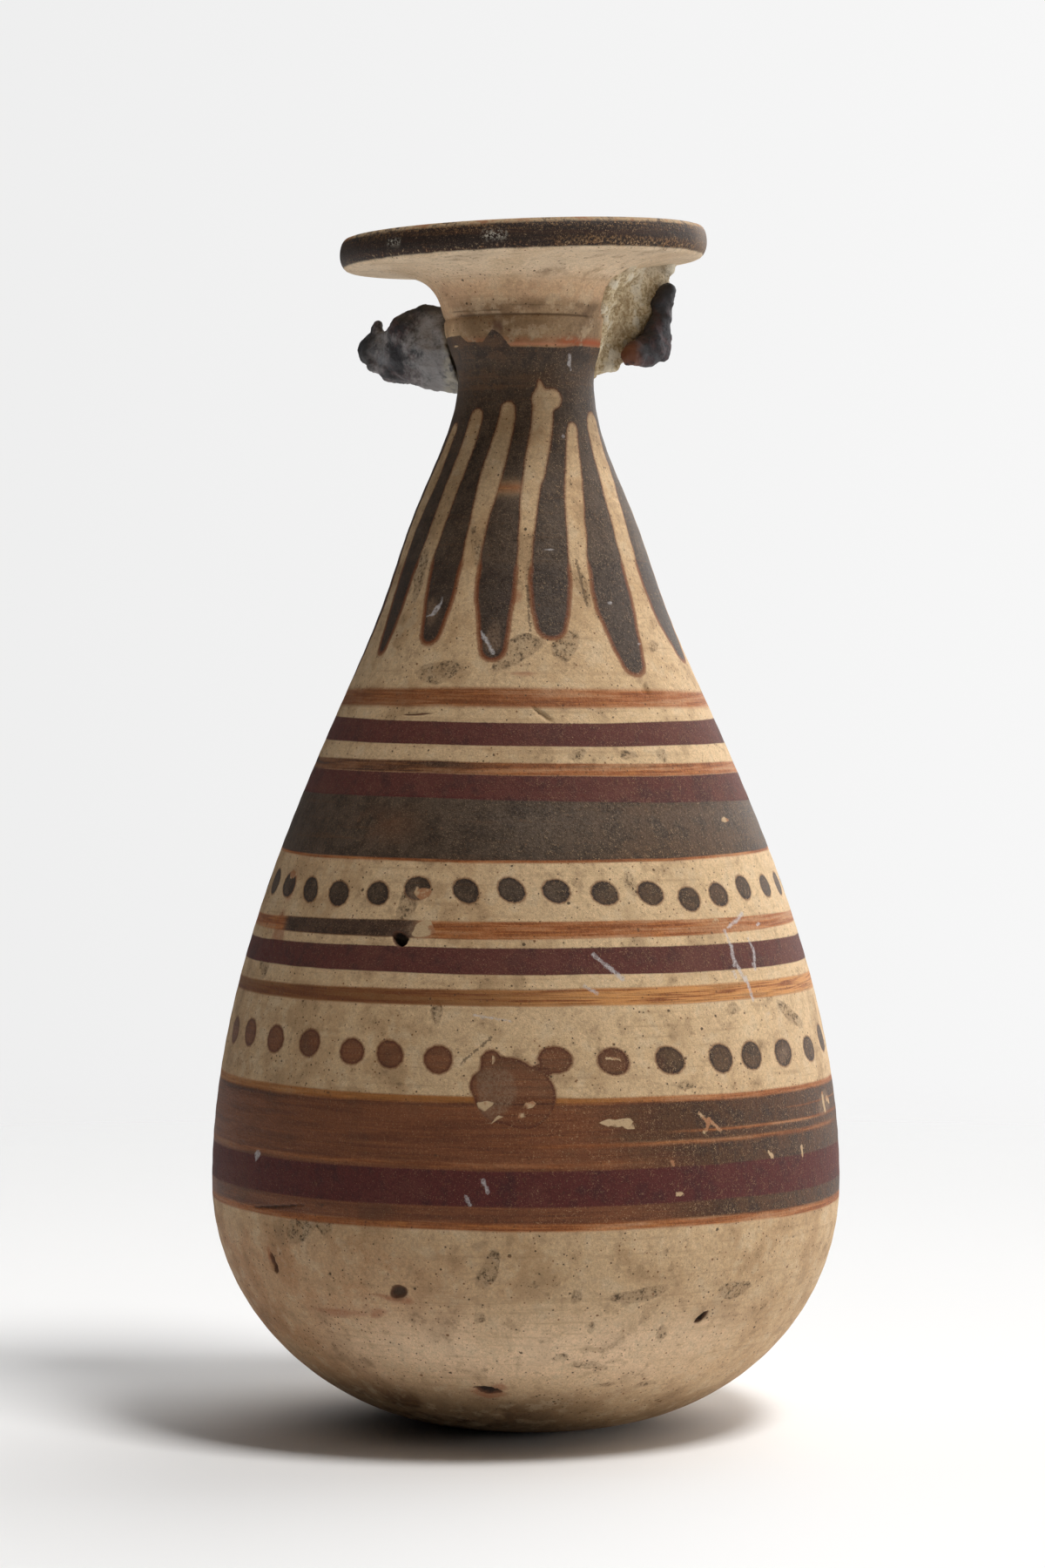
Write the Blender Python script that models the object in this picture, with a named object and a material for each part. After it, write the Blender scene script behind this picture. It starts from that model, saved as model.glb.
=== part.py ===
"""Alabastron: a small pear-shaped oil flask of fired clay, thrown on a wheel, with a disc mouth on a narrow
neck and a crusted lug under the mouth. Two broken lumps of rusted iron stay beside the neck.

Metres, +Z up. The origin is under the middle of the belly, on the flat resting spot of the base.
The side that is looked at faces -Y. Every turned outline is a list of (radius, height) pairs.
"""

import math

import bmesh
import bpy
from mathutils import Vector

# Body of the flask
HEIGHT = 0.1400
BELLY_RADIUS = 0.0372
BELLY_HEIGHT = 0.0285
BASE_RADIUS = 0.0080
WALL = 0.0036

# Curve handles of the body, as shares of the stretch that each one bends
BASE_HANDLE = 0.49
LOWER_BELLY_HANDLE = 0.59
UPPER_BELLY_HANDLE = 0.405
SHOULDER_HANDLE = 0.20

# Swelling of the shoulder below the neck
SWELL_DEPTH = 0.0012
SWELL_BELOW_NECK = 0.0155
SWELL_SPREAD = 0.0095

# Neck, collar and trumpet; the handles are (radius share, height share) of the trumpet's stretch
NECK_RADIUS = 0.0080
NECK_BELOW_MOUTH = 0.0176
BORE_RADIUS = 0.0045
COLLAR_RADIUS = 0.0095
COLLAR_HEIGHT = 0.0072
GROOVE_DEPTH = 0.0002
GROOVE_WIDTH = 0.0008
TRUMPET_LEAVE = (0.085, 0.47)
TRUMPET_ARRIVE = (0.28, 0.84)

# Disc mouth
LIP_RADIUS = 0.0216
LIP_THICKNESS = 0.0037
LIP_UNDERCUT = 0.0010
LIP_EDGE_ROUNDING = 0.0009
LIP_BULGE_SHARE = 0.50
MOUTH_ROUNDING = 0.0014

# How the wet flask settled: small sideways shifts of base, neck and disc, and the tip of the disc
BASE_SHIFT = 0.0004
UPPER_SHIFT = -0.0003
NECK_SHIFT = 0.0003
NECK_SHIFT_SPREAD = 0.0060
MOUTH_TILT = math.radians(2.2)

# Lug under the disc, behind the right side; its edge handles are (radius share, height share) of its stretch
LUG_AZIMUTH = math.radians(32)
LUG_THICKNESS = 0.0070
LUG_INSET = 0.0021
LUG_FOOT_STEP = 0.0021
LUG_FOOT_RISE = 0.0011
LUG_ROOT_DEPTH = 0.0018
LUG_EDGE_LEAVE = (0.38, 0.14)
LUG_EDGE_ARRIVE = (0.57, 0.58)
LUG_EDGE_ROUNDING = 0.0012

# Rusted iron left beside the neck
IRON_GAP = 0.0003
LEFT_IRON_AZIMUTH = math.radians(150)
LEFT_IRON_REACH = 0.0229
LEFT_IRON_HEIGHT = 0.0100
LEFT_IRON_WIDTH = 0.0076
LEFT_IRON_RISE = 0.0043
LEFT_SPIKE_HEIGHT = 0.0036
LEFT_SPIKE_RADIUS = 0.0009
RIGHT_IRON_RADIUS = 0.0017
RIGHT_IRON_FOOT = 0.0034

# Fineness of the faceted surfaces
TURNED_SIDES = 60
ROD_SIDES = 16
SPIKE_SIDES = 8

NECK_HEIGHT = HEIGHT - NECK_BELOW_MOUTH
COLLAR_TOP = NECK_HEIGHT + COLLAR_HEIGHT
LIP_UNDERSIDE = HEIGHT - LIP_THICKNESS
LIP_FOOT_RADIUS = LIP_RADIUS - LIP_UNDERCUT


def smooth_step(value):
    """0 below 0, 1 above 1, and an even S between."""
    share = min(1.0, max(0.0, value))
    return share * share * (3 - 2 * share)


def bezier(start, leave, arrive, end, steps):
    """Points of a cubic curve, both ends included."""
    points = []
    for index in range(steps + 1):
        t = index / steps
        weights = ((1 - t) ** 3, 3 * (1 - t) ** 2 * t, 3 * (1 - t) * t * t, t**3)
        corners = (start, leave, arrive, end)
        points.append(tuple(sum(w * c[k] for w, c in zip(weights, corners)) for k in (0, 1)))
    return points


def bent_between(start, leave, arrive, end, steps):
    """A cubic curve whose two handles are given as (radius share, height share) of its stretch."""
    handles = []
    for share in (leave, arrive):
        handles.append(tuple(start[k] + share[k] * (end[k] - start[k]) for k in (0, 1)))
    return bezier(start, handles[0], handles[1], end, steps)


def settled(point):
    """A turned point after the flask settled: shifted sideways, and tipped with the disc."""
    x, y, z = point
    base = 1 - smooth_step(z / BELLY_HEIGHT)
    upper = smooth_step((z - BELLY_HEIGHT) / (NECK_HEIGHT - BELLY_HEIGHT))
    neck = math.exp(-(((z - NECK_HEIGHT) / NECK_SHIFT_SPREAD) ** 2))
    disc = smooth_step((z - NECK_HEIGHT) / (LIP_UNDERSIDE - NECK_HEIGHT))
    shift = BASE_SHIFT * base + UPPER_SHIFT * upper + NECK_SHIFT * neck
    return Vector((x + shift, y, z + x * math.tan(MOUTH_TILT) * disc))


def body_curve(lower_steps, upper_steps):
    """Outer outline from the edge of the resting spot up to the narrowest place of the neck."""
    flank = BELLY_RADIUS - BASE_RADIUS
    lower = bezier(
        (BASE_RADIUS, 0),
        (BASE_RADIUS + BASE_HANDLE * flank, 0),
        (BELLY_RADIUS, BELLY_HEIGHT * (1 - LOWER_BELLY_HANDLE)),
        (BELLY_RADIUS, BELLY_HEIGHT),
        lower_steps,
    )
    rise = NECK_HEIGHT - BELLY_HEIGHT
    upper = bezier(
        (BELLY_RADIUS, BELLY_HEIGHT),
        (BELLY_RADIUS, BELLY_HEIGHT + UPPER_BELLY_HANDLE * rise),
        (NECK_RADIUS, NECK_HEIGHT - SHOULDER_HANDLE * rise),
        (NECK_RADIUS, NECK_HEIGHT),
        upper_steps,
    )
    swell_height = NECK_HEIGHT - SWELL_BELOW_NECK
    swollen = []
    for radius, height in upper[1:]:
        swell = SWELL_DEPTH * math.exp(-(((height - swell_height) / SWELL_SPREAD) ** 2))
        swollen.append((radius + swell, height))
    return lower + swollen


def collar_curve():
    """The soft collar over the narrowest neck, with the turned groove on top of it."""
    start = (NECK_RADIUS, NECK_HEIGHT)
    end = (COLLAR_RADIUS, COLLAR_TOP)
    middle = COLLAR_TOP + GROOVE_WIDTH / 2
    groove = [(COLLAR_RADIUS - GROOVE_DEPTH, middle)]
    return bent_between(start, (0, 0.38), (0.97, 0.58), end, 5)[1:] + groove


def trumpet_curve():
    """Outer outline from the groove out to the lower edge of the disc's rim."""
    start = (COLLAR_RADIUS, COLLAR_TOP + GROOVE_WIDTH)
    end = (LIP_FOOT_RADIUS, LIP_UNDERSIDE)
    return bent_between(start, TRUMPET_LEAVE, TRUMPET_ARRIVE, end, 8)


def rim_curve():
    """The disc's round outer edge, from its undercut foot over the bulge to the flat top."""
    bulge = (LIP_RADIUS, LIP_UNDERSIDE + LIP_BULGE_SHARE * LIP_THICKNESS)
    edge = (LIP_RADIUS - LIP_EDGE_ROUNDING, HEIGHT)
    lower = bent_between((LIP_FOOT_RADIUS, LIP_UNDERSIDE), (0.60, 0.05), (1, 0.50), bulge, 3)
    upper = bent_between(bulge, (0, 0.50), (0.35, 1), edge, 3)
    return lower[1:] + upper[1:]


def outer_outline():
    """The whole outside, from the axis under the base to the edge of the flat top."""
    return [(0, 0)] + body_curve(11, 16) + collar_curve() + trumpet_curve() + rim_curve()


def offset_outline(points, distances):
    """Moves each point along its own normal: outwards for a positive distance."""
    moved = []
    for index, (radius, height) in enumerate(points):
        before = points[max(0, index - 1)]
        after = points[min(len(points) - 1, index + 1)]
        run, rise = after[0] - before[0], after[1] - before[1]
        length = math.hypot(run, rise)
        moved.append((radius + rise / length * distances[index], height - run / length * distances[index]))
    return moved


def inner_outline():
    """The hollow, from the rounded mouth down the bore and round the belly to the axis on the floor."""
    rounding_end = (BORE_RADIUS, HEIGHT - MOUTH_ROUNDING)
    mouth = bent_between((BORE_RADIUS + MOUTH_ROUNDING, HEIGHT), (0.55, 0), (1, 0.45), rounding_end, 3)
    body = body_curve(8, 10)
    neck_wall = NECK_RADIUS - BORE_RADIUS
    walls = [WALL + (neck_wall - WALL) * smooth_step(height / NECK_HEIGHT) for _, height in body]
    hollow = offset_outline(body, [-wall for wall in walls])
    hollow[0] = (BASE_RADIUS, WALL)
    hollow[-1] = (BORE_RADIUS, NECK_HEIGHT)
    return mouth + hollow[::-1] + [(0, WALL)]


def link(name, mesh):
    item = bpy.data.objects.new(name, mesh)
    bpy.context.scene.collection.objects.link(item)
    return item


def body_from(name, shape):
    """An object from a finished bmesh, with its faces pointing out."""
    bmesh.ops.recalc_face_normals(shape, faces=shape.faces)
    mesh = bpy.data.meshes.new(name)
    shape.to_mesh(mesh)
    shape.free()
    return link(name, mesh)


def as_tool(item):
    """Marks a body that only cuts or joins another one."""
    item.hide_render = True
    item.display_type = "WIRE"
    return item


def boolean(item, tool, operation):
    modifier = item.modifiers.new(f"{operation.lower()} {tool.name}", "BOOLEAN")
    modifier.operation = operation
    modifier.object = tool


def finish(item, name, colour, roughness, metallic, crease):
    """Gives a piece its own material and smooth shading up to a crease angle."""
    material = bpy.data.materials.new(name)
    material.use_nodes = True
    shader = material.node_tree.nodes["Principled BSDF"]
    shader.inputs["Base Color"].default_value = (*colour, 1)
    shader.inputs["Roughness"].default_value = roughness
    shader.inputs["Metallic"].default_value = metallic
    item.data.materials.clear()
    item.data.materials.append(material)
    item.data.shade_smooth()
    item.data.set_sharp_from_angle(angle=crease)


def turned(name, outline):
    """A closed body of revolution, settled, from an outline that starts and ends on the axis."""
    shape = bmesh.new()
    loop = [shape.verts.new((radius, 0, height)) for radius, height in outline]
    edges = [shape.edges.new(pair) for pair in zip(loop, loop[1:])]
    bmesh.ops.spin(
        shape,
        geom=loop + edges,
        cent=(0, 0, 0),
        axis=(0, 0, 1),
        angle=2 * math.pi,
        steps=TURNED_SIDES,
        use_merge=True,
    )
    bmesh.ops.remove_doubles(shape, verts=shape.verts, dist=1e-6)
    for corner in shape.verts:
        corner.co = settled(corner.co)
    return body_from(name, shape)


def bridge_rings(shape, rings):
    """Side faces between rings that have the same number of corners, ring after ring."""
    for near, far in zip(rings, rings[1:]):
        for side in range(len(near)):
            following = (side + 1) % len(near)
            shape.faces.new((near[side], near[following], far[following], far[side]))


def lug_edge(steps):
    """The lug's outer edge as (radius, height), from its foot on the neck up to the disc."""
    foot = (NECK_RADIUS + LUG_FOOT_STEP, NECK_HEIGHT + LUG_FOOT_RISE)
    top = (LIP_RADIUS - LUG_INSET, LIP_UNDERSIDE)
    return bent_between(foot, LUG_EDGE_LEAVE, LUG_EDGE_ARRIVE, top, steps)


def on_lug(radius, sideways, height):
    """A point given along the lug's own directions: out from the axis, across the lug, and up."""
    out = Vector((math.cos(LUG_AZIMUTH), math.sin(LUG_AZIMUTH), 0))
    across = Vector((-out.y, out.x, 0))
    return settled(radius * out + sideways * across + Vector((0, 0, height)))


def lug_prism(name, grow=0.0):
    """The web between neck and disc, grown evenly on all sides for a cutter."""
    edge = lug_edge(8)
    root = NECK_RADIUS - LUG_ROOT_DEPTH
    high = LIP_UNDERSIDE + 0.5 * LIP_THICKNESS
    grown_edge = offset_outline(edge, [grow] * len(edge))
    outline = [(root, edge[0][1] - grow), (edge[0][0], edge[0][1] - grow)]
    outline += grown_edge[1:] + [(grown_edge[-1][0], high), (root, high)]
    half = LUG_THICKNESS / 2 + grow
    shape = bmesh.new()
    sides = []
    for sideways in (-half, half):
        sides.append([shape.verts.new(on_lug(radius, sideways, height)) for radius, height in outline])
        shape.faces.new(sides[-1])
    bridge_rings(shape, sides)
    return as_tool(body_from(name, shape))


def gnarled_rod(name, path, radii, width_share, phase):
    """A corroded rod: rings along a path, each ring knobbly by two sine waves, closed by blunt cones."""
    shape = bmesh.new()
    rings = []
    for index, (centre, radius) in enumerate(zip(path, radii)):
        ahead = path[min(index + 1, len(path) - 1)] - path[max(index - 1, 0)]
        frame = ahead.to_track_quat("Z", "Y")
        ring = []
        for side in range(ROD_SIDES):
            turn = 2 * math.pi * side / ROD_SIDES
            knobs = 1 + 0.08 * math.sin(3 * turn + 1.1 * index + phase) + 0.05 * math.sin(5 * turn - 1.9 * index)
            offset = Vector((math.cos(turn) * width_share, math.sin(turn), 0)) * radius * knobs
            ring.append(shape.verts.new(centre + frame @ offset))
        rings.append(ring)
    bridge_rings(shape, rings)
    for ring, centre, neighbour, radius in (
        (rings[0], path[0], path[1], radii[0]),
        (rings[-1], path[-1], path[-2], radii[-1]),
    ):
        tip = shape.verts.new(centre + (centre - neighbour).normalized() * radius * 0.35)
        for side in range(ROD_SIDES):
            shape.faces.new((tip, ring[side], ring[(side + 1) % ROD_SIDES]))
    return body_from(name, shape)


def spike(name, foot, height, radius):
    """A small upright peg that thins towards its blunt tip."""
    shape = bmesh.new()
    rings = []
    for rise, share in ((0, 1.5), (0.5, 1.1), (0.85, 0.8), (1, 0.45)):
        ring = []
        for side in range(SPIKE_SIDES):
            turn = 2 * math.pi * side / SPIKE_SIDES
            across = Vector((math.cos(turn), math.sin(turn), 0)) * radius * share
            ring.append(shape.verts.new(foot + across + Vector((0, 0, rise * height))))
        rings.append(ring)
    bridge_rings(shape, rings)
    shape.faces.new(rings[0])
    shape.faces.new(rings[-1])
    return as_tool(body_from(name, shape))


def build_flask():
    flask = turned("flask", outer_outline() + inner_outline())
    lug = lug_prism("lug_blank")
    rounding = lug.modifiers.new("rounded edges", "BEVEL")
    rounding.width = LUG_EDGE_ROUNDING
    rounding.segments = 2
    boolean(flask, lug, "UNION")
    finish(flask, "fired clay", (0.52, 0.38, 0.24), 0.62, 0.0, math.radians(40))


def build_left_iron(neck_cutter):
    """The lump that points away from the neck at the back left: tall at its root, with a spike near its tip."""
    out = Vector((math.cos(LEFT_IRON_AZIMUTH), math.sin(LEFT_IRON_AZIMUTH), 0))
    root = out * (NECK_RADIUS * 0.55)
    reach = LEFT_IRON_REACH - root.length
    middle = NECK_HEIGHT + LEFT_IRON_RISE
    # Each station: share of the reach, share of the full height, drop below the middle as a share of it
    stations = (
        (0.00, 0.90, 0.06),
        (0.20, 0.94, 0.04),
        (0.38, 0.98, 0.00),
        (0.52, 0.96, -0.05),
        (0.64, 0.84, -0.04),
        (0.75, 0.62, 0.02),
        (0.86, 0.50, -0.04),
        (0.94, 0.37, -0.07),
        (0.985, 0.21, -0.08),
    )
    path = []
    for share, _, drop in stations:
        path.append(settled(root + out * (reach * share) + Vector((0, 0, middle - drop * LEFT_IRON_HEIGHT))))
    radii = [LEFT_IRON_HEIGHT / 2 * station[1] for station in stations]
    iron = gnarled_rod("iron_remnant_left", path, radii, LEFT_IRON_WIDTH / LEFT_IRON_HEIGHT, 0.4)
    peg = spike("left_iron_spike", path[6], LEFT_SPIKE_HEIGHT, LEFT_SPIKE_RADIUS)
    boolean(iron, peg, "UNION")
    boolean(iron, neck_cutter, "DIFFERENCE")
    finish(iron, "rusted iron, left", (0.055, 0.048, 0.046), 0.75, 0.15, math.radians(50))


def build_right_iron(neck_cutter, lug_cutter):
    """The bent bar that runs down the lug's outer edge and turns round its front face at the foot."""
    edge = lug_edge(20)
    face = -LUG_THICKNESS / 2
    # Each bend: place along the lug's edge, then distance off the edge, shift past the lug's front face
    # and thickness, the last three as shares of the bar's radius
    bends = (
        (17, 0.50, 0.20, 0.45),
        (15, 0.60, 0.10, 0.60),
        (12, 0.85, 0.00, 0.80),
        (9, 1.05, -0.05, 0.92),
        (7, 1.35, -0.20, 1.15),
        (6, 0.75, -0.75, 0.90),
        (5, -0.10, -0.95, 0.85),
        (5, -0.75, -1.00, 0.75),
    )
    path = []
    for place, proud, sideways, _ in bends:
        radius, height = edge[place]
        low = max(height, NECK_HEIGHT + RIGHT_IRON_FOOT)
        path.append(on_lug(radius + proud * RIGHT_IRON_RADIUS, face + sideways * RIGHT_IRON_RADIUS, low))
    radii = [RIGHT_IRON_RADIUS * bend[3] for bend in bends]
    iron = gnarled_rod("iron_remnant_right", path, radii, 1.0, 2.1)
    boolean(iron, neck_cutter, "DIFFERENCE")
    boolean(iron, lug_cutter, "DIFFERENCE")
    finish(iron, "rusted iron, right", (0.060, 0.045, 0.042), 0.70, 0.15, math.radians(50))


def main():
    for item in list(bpy.data.objects):
        bpy.data.objects.remove(item)
    build_flask()
    outside = outer_outline()
    grown = offset_outline(outside, [IRON_GAP] * len(outside))
    grown[0] = (0, -IRON_GAP)
    neck_cutter = as_tool(turned("neck_cutter", grown + [(0, HEIGHT + IRON_GAP)]))
    lug_cutter = lug_prism("lug_cutter", IRON_GAP)
    build_left_iron(neck_cutter)
    build_right_iron(neck_cutter, lug_cutter)


main()
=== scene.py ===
"""Looks of a small painted clay oil flask (alabastron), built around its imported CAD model.

Four operators make it: the turned and painted flask, the crust on its lug, the rusted iron remnants, and the
stage with its light and camera. Angles run round the flask in degrees: 0 is the side that is looked at (-Y),
90 is +X. Heights and small sizes of the painting are in millimetres, everything else is in metres.
"""

import math
import random

import bmesh
import bpy
import numpy as np
from bpy.props import FloatProperty, FloatVectorProperty, IntProperty, PointerProperty
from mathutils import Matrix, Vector
from mathutils.bvhtree import BVHTree


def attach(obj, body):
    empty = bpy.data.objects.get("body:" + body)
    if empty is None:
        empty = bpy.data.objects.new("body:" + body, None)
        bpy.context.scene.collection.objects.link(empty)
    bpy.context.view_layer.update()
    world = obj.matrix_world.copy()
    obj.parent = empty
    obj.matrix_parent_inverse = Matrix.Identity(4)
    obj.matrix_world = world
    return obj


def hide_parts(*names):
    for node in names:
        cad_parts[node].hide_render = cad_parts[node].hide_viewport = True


bl_info = {
    "name": "Painted oil flask",
    "version": (1, 0, 0),
    "blender": (4, 5, 0),
    "location": "3D View > Sidebar > Oil Flask",
    "description": "Builds a painted oil flask with its crusted lug and rusted iron, and a stage for it",
    "category": "Object",
}

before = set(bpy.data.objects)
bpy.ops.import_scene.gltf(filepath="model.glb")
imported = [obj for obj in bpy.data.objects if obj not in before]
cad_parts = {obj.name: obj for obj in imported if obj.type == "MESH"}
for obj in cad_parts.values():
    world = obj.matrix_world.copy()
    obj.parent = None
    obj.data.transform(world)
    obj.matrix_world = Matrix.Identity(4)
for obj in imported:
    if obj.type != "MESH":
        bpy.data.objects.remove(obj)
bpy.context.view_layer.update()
BODY = "root"
MM = 0.001

# The flask's outline beyond the sizes of the panel
BASE_HANDLE = 0.49
LOWER_BELLY_HANDLE = 0.59
UPPER_BELLY_HANDLE = 0.405
SHOULDER_HANDLE = 0.20
SWELL_DEPTH = 0.0012
SWELL_BELOW_NECK = 0.0155
SWELL_SPREAD = 0.0095
COLLAR_HEIGHT = 0.0072
GROOVE_DEPTH = 0.0002
GROOVE_WIDTH = 0.0008
LIP_UNDERCUT = 0.0010
LIP_EDGE_ROUNDING = 0.0009
MOUTH_ROUNDING = 0.0014
BASE_SHIFT = 0.0004
UPPER_SHIFT = -0.0003
NECK_SHIFT = 0.0003
NECK_SHIFT_SPREAD = 0.0060
COLUMNS = 300
CURVE_STEPS = 96
RIDGE_STEP = 0.0026
WELD_REACH = 2e-6
BEYOND_FLASK = 0.06
TILT_SLOPE = math.tan(math.radians(2.2))

# The lug under the crust
LUG_AZIMUTH = math.radians(32)
LUG_THICKNESS = 0.0070
LUG_INSET = 0.0021
LUG_FOOT_STEP = 0.0021
LUG_FOOT_RISE = 0.0011
LUG_ROOT_DEPTH = 0.0018
LUG_HANDLES = ((0.38, 0.14), (0.57, 0.58))
LUG_STEPS = 8


def srgb(red, green, blue):
    """A colour given as it is seen on a screen, 0 to 255, in the linear values that shaders use."""
    linear = []
    for value in (red, green, blue):
        share = value / 255
        linear.append(share / 12.92 if share <= 0.04045 else ((share + 0.055) / 1.055) ** 2.4)
    return tuple(linear)


def length(name, description, default):
    """A property that is a length in metres."""
    about = {"name": name, "description": description, "default": default}
    return FloatProperty(subtype="DISTANCE", unit="LENGTH", **about)


def colour(name, description, *tone):
    """A property that is a colour, its default given as srgb takes it."""
    return FloatVectorProperty(
        name=name, description=description, subtype="COLOR", size=3, min=0, max=1, default=srgb(*tone)
    )


def brightness(name, description, default):
    """A property that is a light's strength."""
    return FloatProperty(name=name, description=description, default=default, min=0, subtype="FACTOR")


class FlaskSizes(bpy.types.PropertyGroup):
    """Sizes of the turned flask."""

    height: length("Height", "Height of the mouth's middle over the table", 0.1400)
    belly_radius: length("Belly radius", "Radius at the widest place", 0.0372)
    belly_height: length("Belly height", "Height of the widest place", 0.0285)
    base_radius: length("Base radius", "Radius of the flat resting spot", 0.0080)
    neck_radius: length("Neck radius", "Outer radius at the narrowest place", 0.0080)
    neck_below_mouth: length("Neck below mouth", "Depth of the narrowest place under the mouth", 0.0176)
    collar_radius: length("Collar radius", "Radius at the foot of the trumpet", 0.0095)
    lip_radius: length("Lip radius", "Outer radius of the disc mouth", 0.0216)
    lip_thickness: length("Lip thickness", "Height of the disc's rim", 0.0037)
    bore_radius: length("Bore radius", "Radius of the mouth's bore", 0.0045)
    wall: length("Wall", "Thickness of the body's wall", 0.0036)
    unevenness: length("Unevenness", "How far the hand-turned wall strays inwards", 0.00016)


class PaintColours(bpy.types.PropertyGroup):
    """Colours of the clay and of its paints."""

    clay: colour("Clay", "Fired clay with its thin slip", 202, 171, 132)
    dark: colour("Dark paint", "Brown-black paint of tongues, dots and bands", 66, 52, 43)
    red_brown: colour("Red-brown paint", "Dark paint where it fired red", 114, 68, 43)
    orange: colour("Orange wash", "Thinned paint of the narrow bands and rims", 156, 90, 46)
    purple: colour("Purple", "Matte purple-red laid over the dark paint", 84, 38, 35)


class GrowthSizes(bpy.types.PropertyGroup):
    """Roughness of the crust and of the rust."""

    voxel: length("Fineness", "Size of the smallest facets of crust and rust", 0.00024)
    crust_knob: length("Crust knobs", "Height of the crust's knobs", 0.00042)
    crust_grain: length("Crust grain", "Height of the crust's sandy grain", 0.00020)
    iron_knob: length("Rust knobs", "Height of the blisters on the iron", 0.00030)
    iron_grain: length("Rust grain", "Height of the rust's fine grain", 0.00014)
    seed: IntProperty(name="Seed", description="Chooses another growth of crust and rust", default=7)


class StageSettings(bpy.types.PropertyGroup):
    """Light and floor."""

    floor_radius: length("Floor radius", "Radius of the pale floor", 1.6)
    key_power: FloatProperty(
        name="Key light", description="Power of the high light that casts the shadow",
        default=19.4, subtype="POWER", unit="POWER",
    )
    low_window: brightness("Low window", "Brightness of the low strip of light on the right", 6.6)
    back_window: brightness("Back window", "Brightness of the wide light behind on the right", 2.0)
    back_wall: brightness("Back wall", "Brightness of the wall behind, as it lights the flask", 0.08)
    ceiling: brightness("Ceiling", "Brightness of the ceiling behind the flask", 0.48)
    backdrop: brightness("Backdrop", "Brightness of the backdrop, as it is seen", 0.895)


class Wire:
    """One output socket. Python's arithmetic on it adds the Math nodes that it needs."""

    def __init__(self, net, socket):
        self.net = net
        self.socket = socket

    def maths(self, operation, *values):
        """A Math node on the values given."""
        return self.net.add("ShaderNodeMath", {"operation": operation}, values)

    def __add__(self, other):
        return self.maths("ADD", self, other)

    __radd__ = __add__

    def __sub__(self, other):
        return self.maths("SUBTRACT", self, other)

    def __rsub__(self, other):
        return self.maths("SUBTRACT", other, self)

    def __mul__(self, other):
        return self.maths("MULTIPLY", self, other)

    __rmul__ = __mul__

    def __truediv__(self, other):
        return self.maths("DIVIDE", self, other)

    def __rtruediv__(self, other):
        return self.maths("DIVIDE", other, self)

    def __pow__(self, other):
        return self.maths("POWER", self, other)

    def __neg__(self):
        return self.maths("MULTIPLY", self, -1.0)

    def least(self, other):
        return self.maths("MINIMUM", self, other)

    def most(self, other):
        return self.maths("MAXIMUM", self, other)

    def part(self, index):
        """Another output of the same node."""
        return Wire(self.net, self.socket.node.outputs[index])

    def above(self, low, high):
        """0 below low, 1 above high, and an even S between."""
        settings = {"interpolation_type": "SMOOTHSTEP"}
        return self.net.add("ShaderNodeMapRange", settings, (self, low, high, 0.0, 1.0))

    def below(self, low, high):
        return 1 - self.above(low, high)

    def swing(self, amount):
        """A noise from 0 to 1, made to swing by an amount about 0."""
        return (self - 0.5) * amount

    def bell(self, middle, spread):
        """1 at the middle, falling off evenly on both sides."""
        away = (self - middle) / spread
        return self.maths("EXPONENT", -(away * away))


class Net:
    """Adds nodes to one tree, by one method."""

    def __init__(self, tree):
        self.tree = tree

    def add(self, kind, settings=None, values=(), out=0):
        """A node of a kind: its settings first, then the values or links of its sockets."""
        node = self.tree.nodes.new(kind)
        for name, value in (settings or {}).items():
            setattr(node, name, value)
        pairs = values.items() if isinstance(values, dict) else enumerate(values)
        for key, value in pairs:
            if isinstance(value, Wire):
                self.tree.links.new(value.socket, node.inputs[key])
            else:
                node.inputs[key].default_value = value
        return Wire(self, node.outputs[out] if node.outputs else None)

    def vector(self, x, y, z):
        return self.add("ShaderNodeCombineXYZ", None, (x, y, z))

    def split(self, vector):
        whole = self.add("ShaderNodeSeparateXYZ", None, (vector,))
        return whole, whole.part(1), whole.part(2)

    def scaled(self, vector, *shares):
        """A vector with each of its parts multiplied."""
        return self.add("ShaderNodeVectorMath", {"operation": "MULTIPLY"}, (vector, shares))

    def noise(self, vector, scale, detail, roughness=0.5):
        values = {"Vector": vector, "Scale": scale, "Detail": detail, "Roughness": roughness}
        return self.add("ShaderNodeTexNoise", None, values)

    def cells(self, vector, scale):
        """Distance to the nearest of many scattered points; part 1 is that point's own random colour."""
        return self.add("ShaderNodeTexVoronoi", None, {"Vector": vector, "Scale": scale})

    def coats(self, base, *coats):
        """Coats of colour one over another, each a colour or its red, green and blue, then its mask."""
        for *tone, mask in coats:
            colour = tone[0] if len(tone) == 1 else srgb(*tone)
            pair = [part if isinstance(part, Wire) else (*part, 1.0) for part in (base, colour)]
            base = self.add("ShaderNodeMix", {"data_type": "RGBA"}, {0: mask, 6: pair[0], 7: pair[1]}, out=2)
        return base

    def times(self, vector, number):
        """A vector or a colour multiplied by a number."""
        return self.add("ShaderNodeVectorMath", {"operation": "SCALE"}, {0: vector, "Scale": number})

    def spot(self):
        """The place on the object, in millimetres."""
        return self.times(self.add("ShaderNodeTexCoord", out=3), 1 / MM)

    def field(self, name):
        """A number that the mesh carries on its points."""
        return self.add("ShaderNodeAttribute", {"attribute_name": name}, out=2)


def shader_net(name):
    """A new material and the net of its emptied tree."""
    material = bpy.data.materials.new(name)
    material.use_nodes = True
    material.node_tree.nodes.clear()
    return material, Net(material.node_tree)


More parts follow.
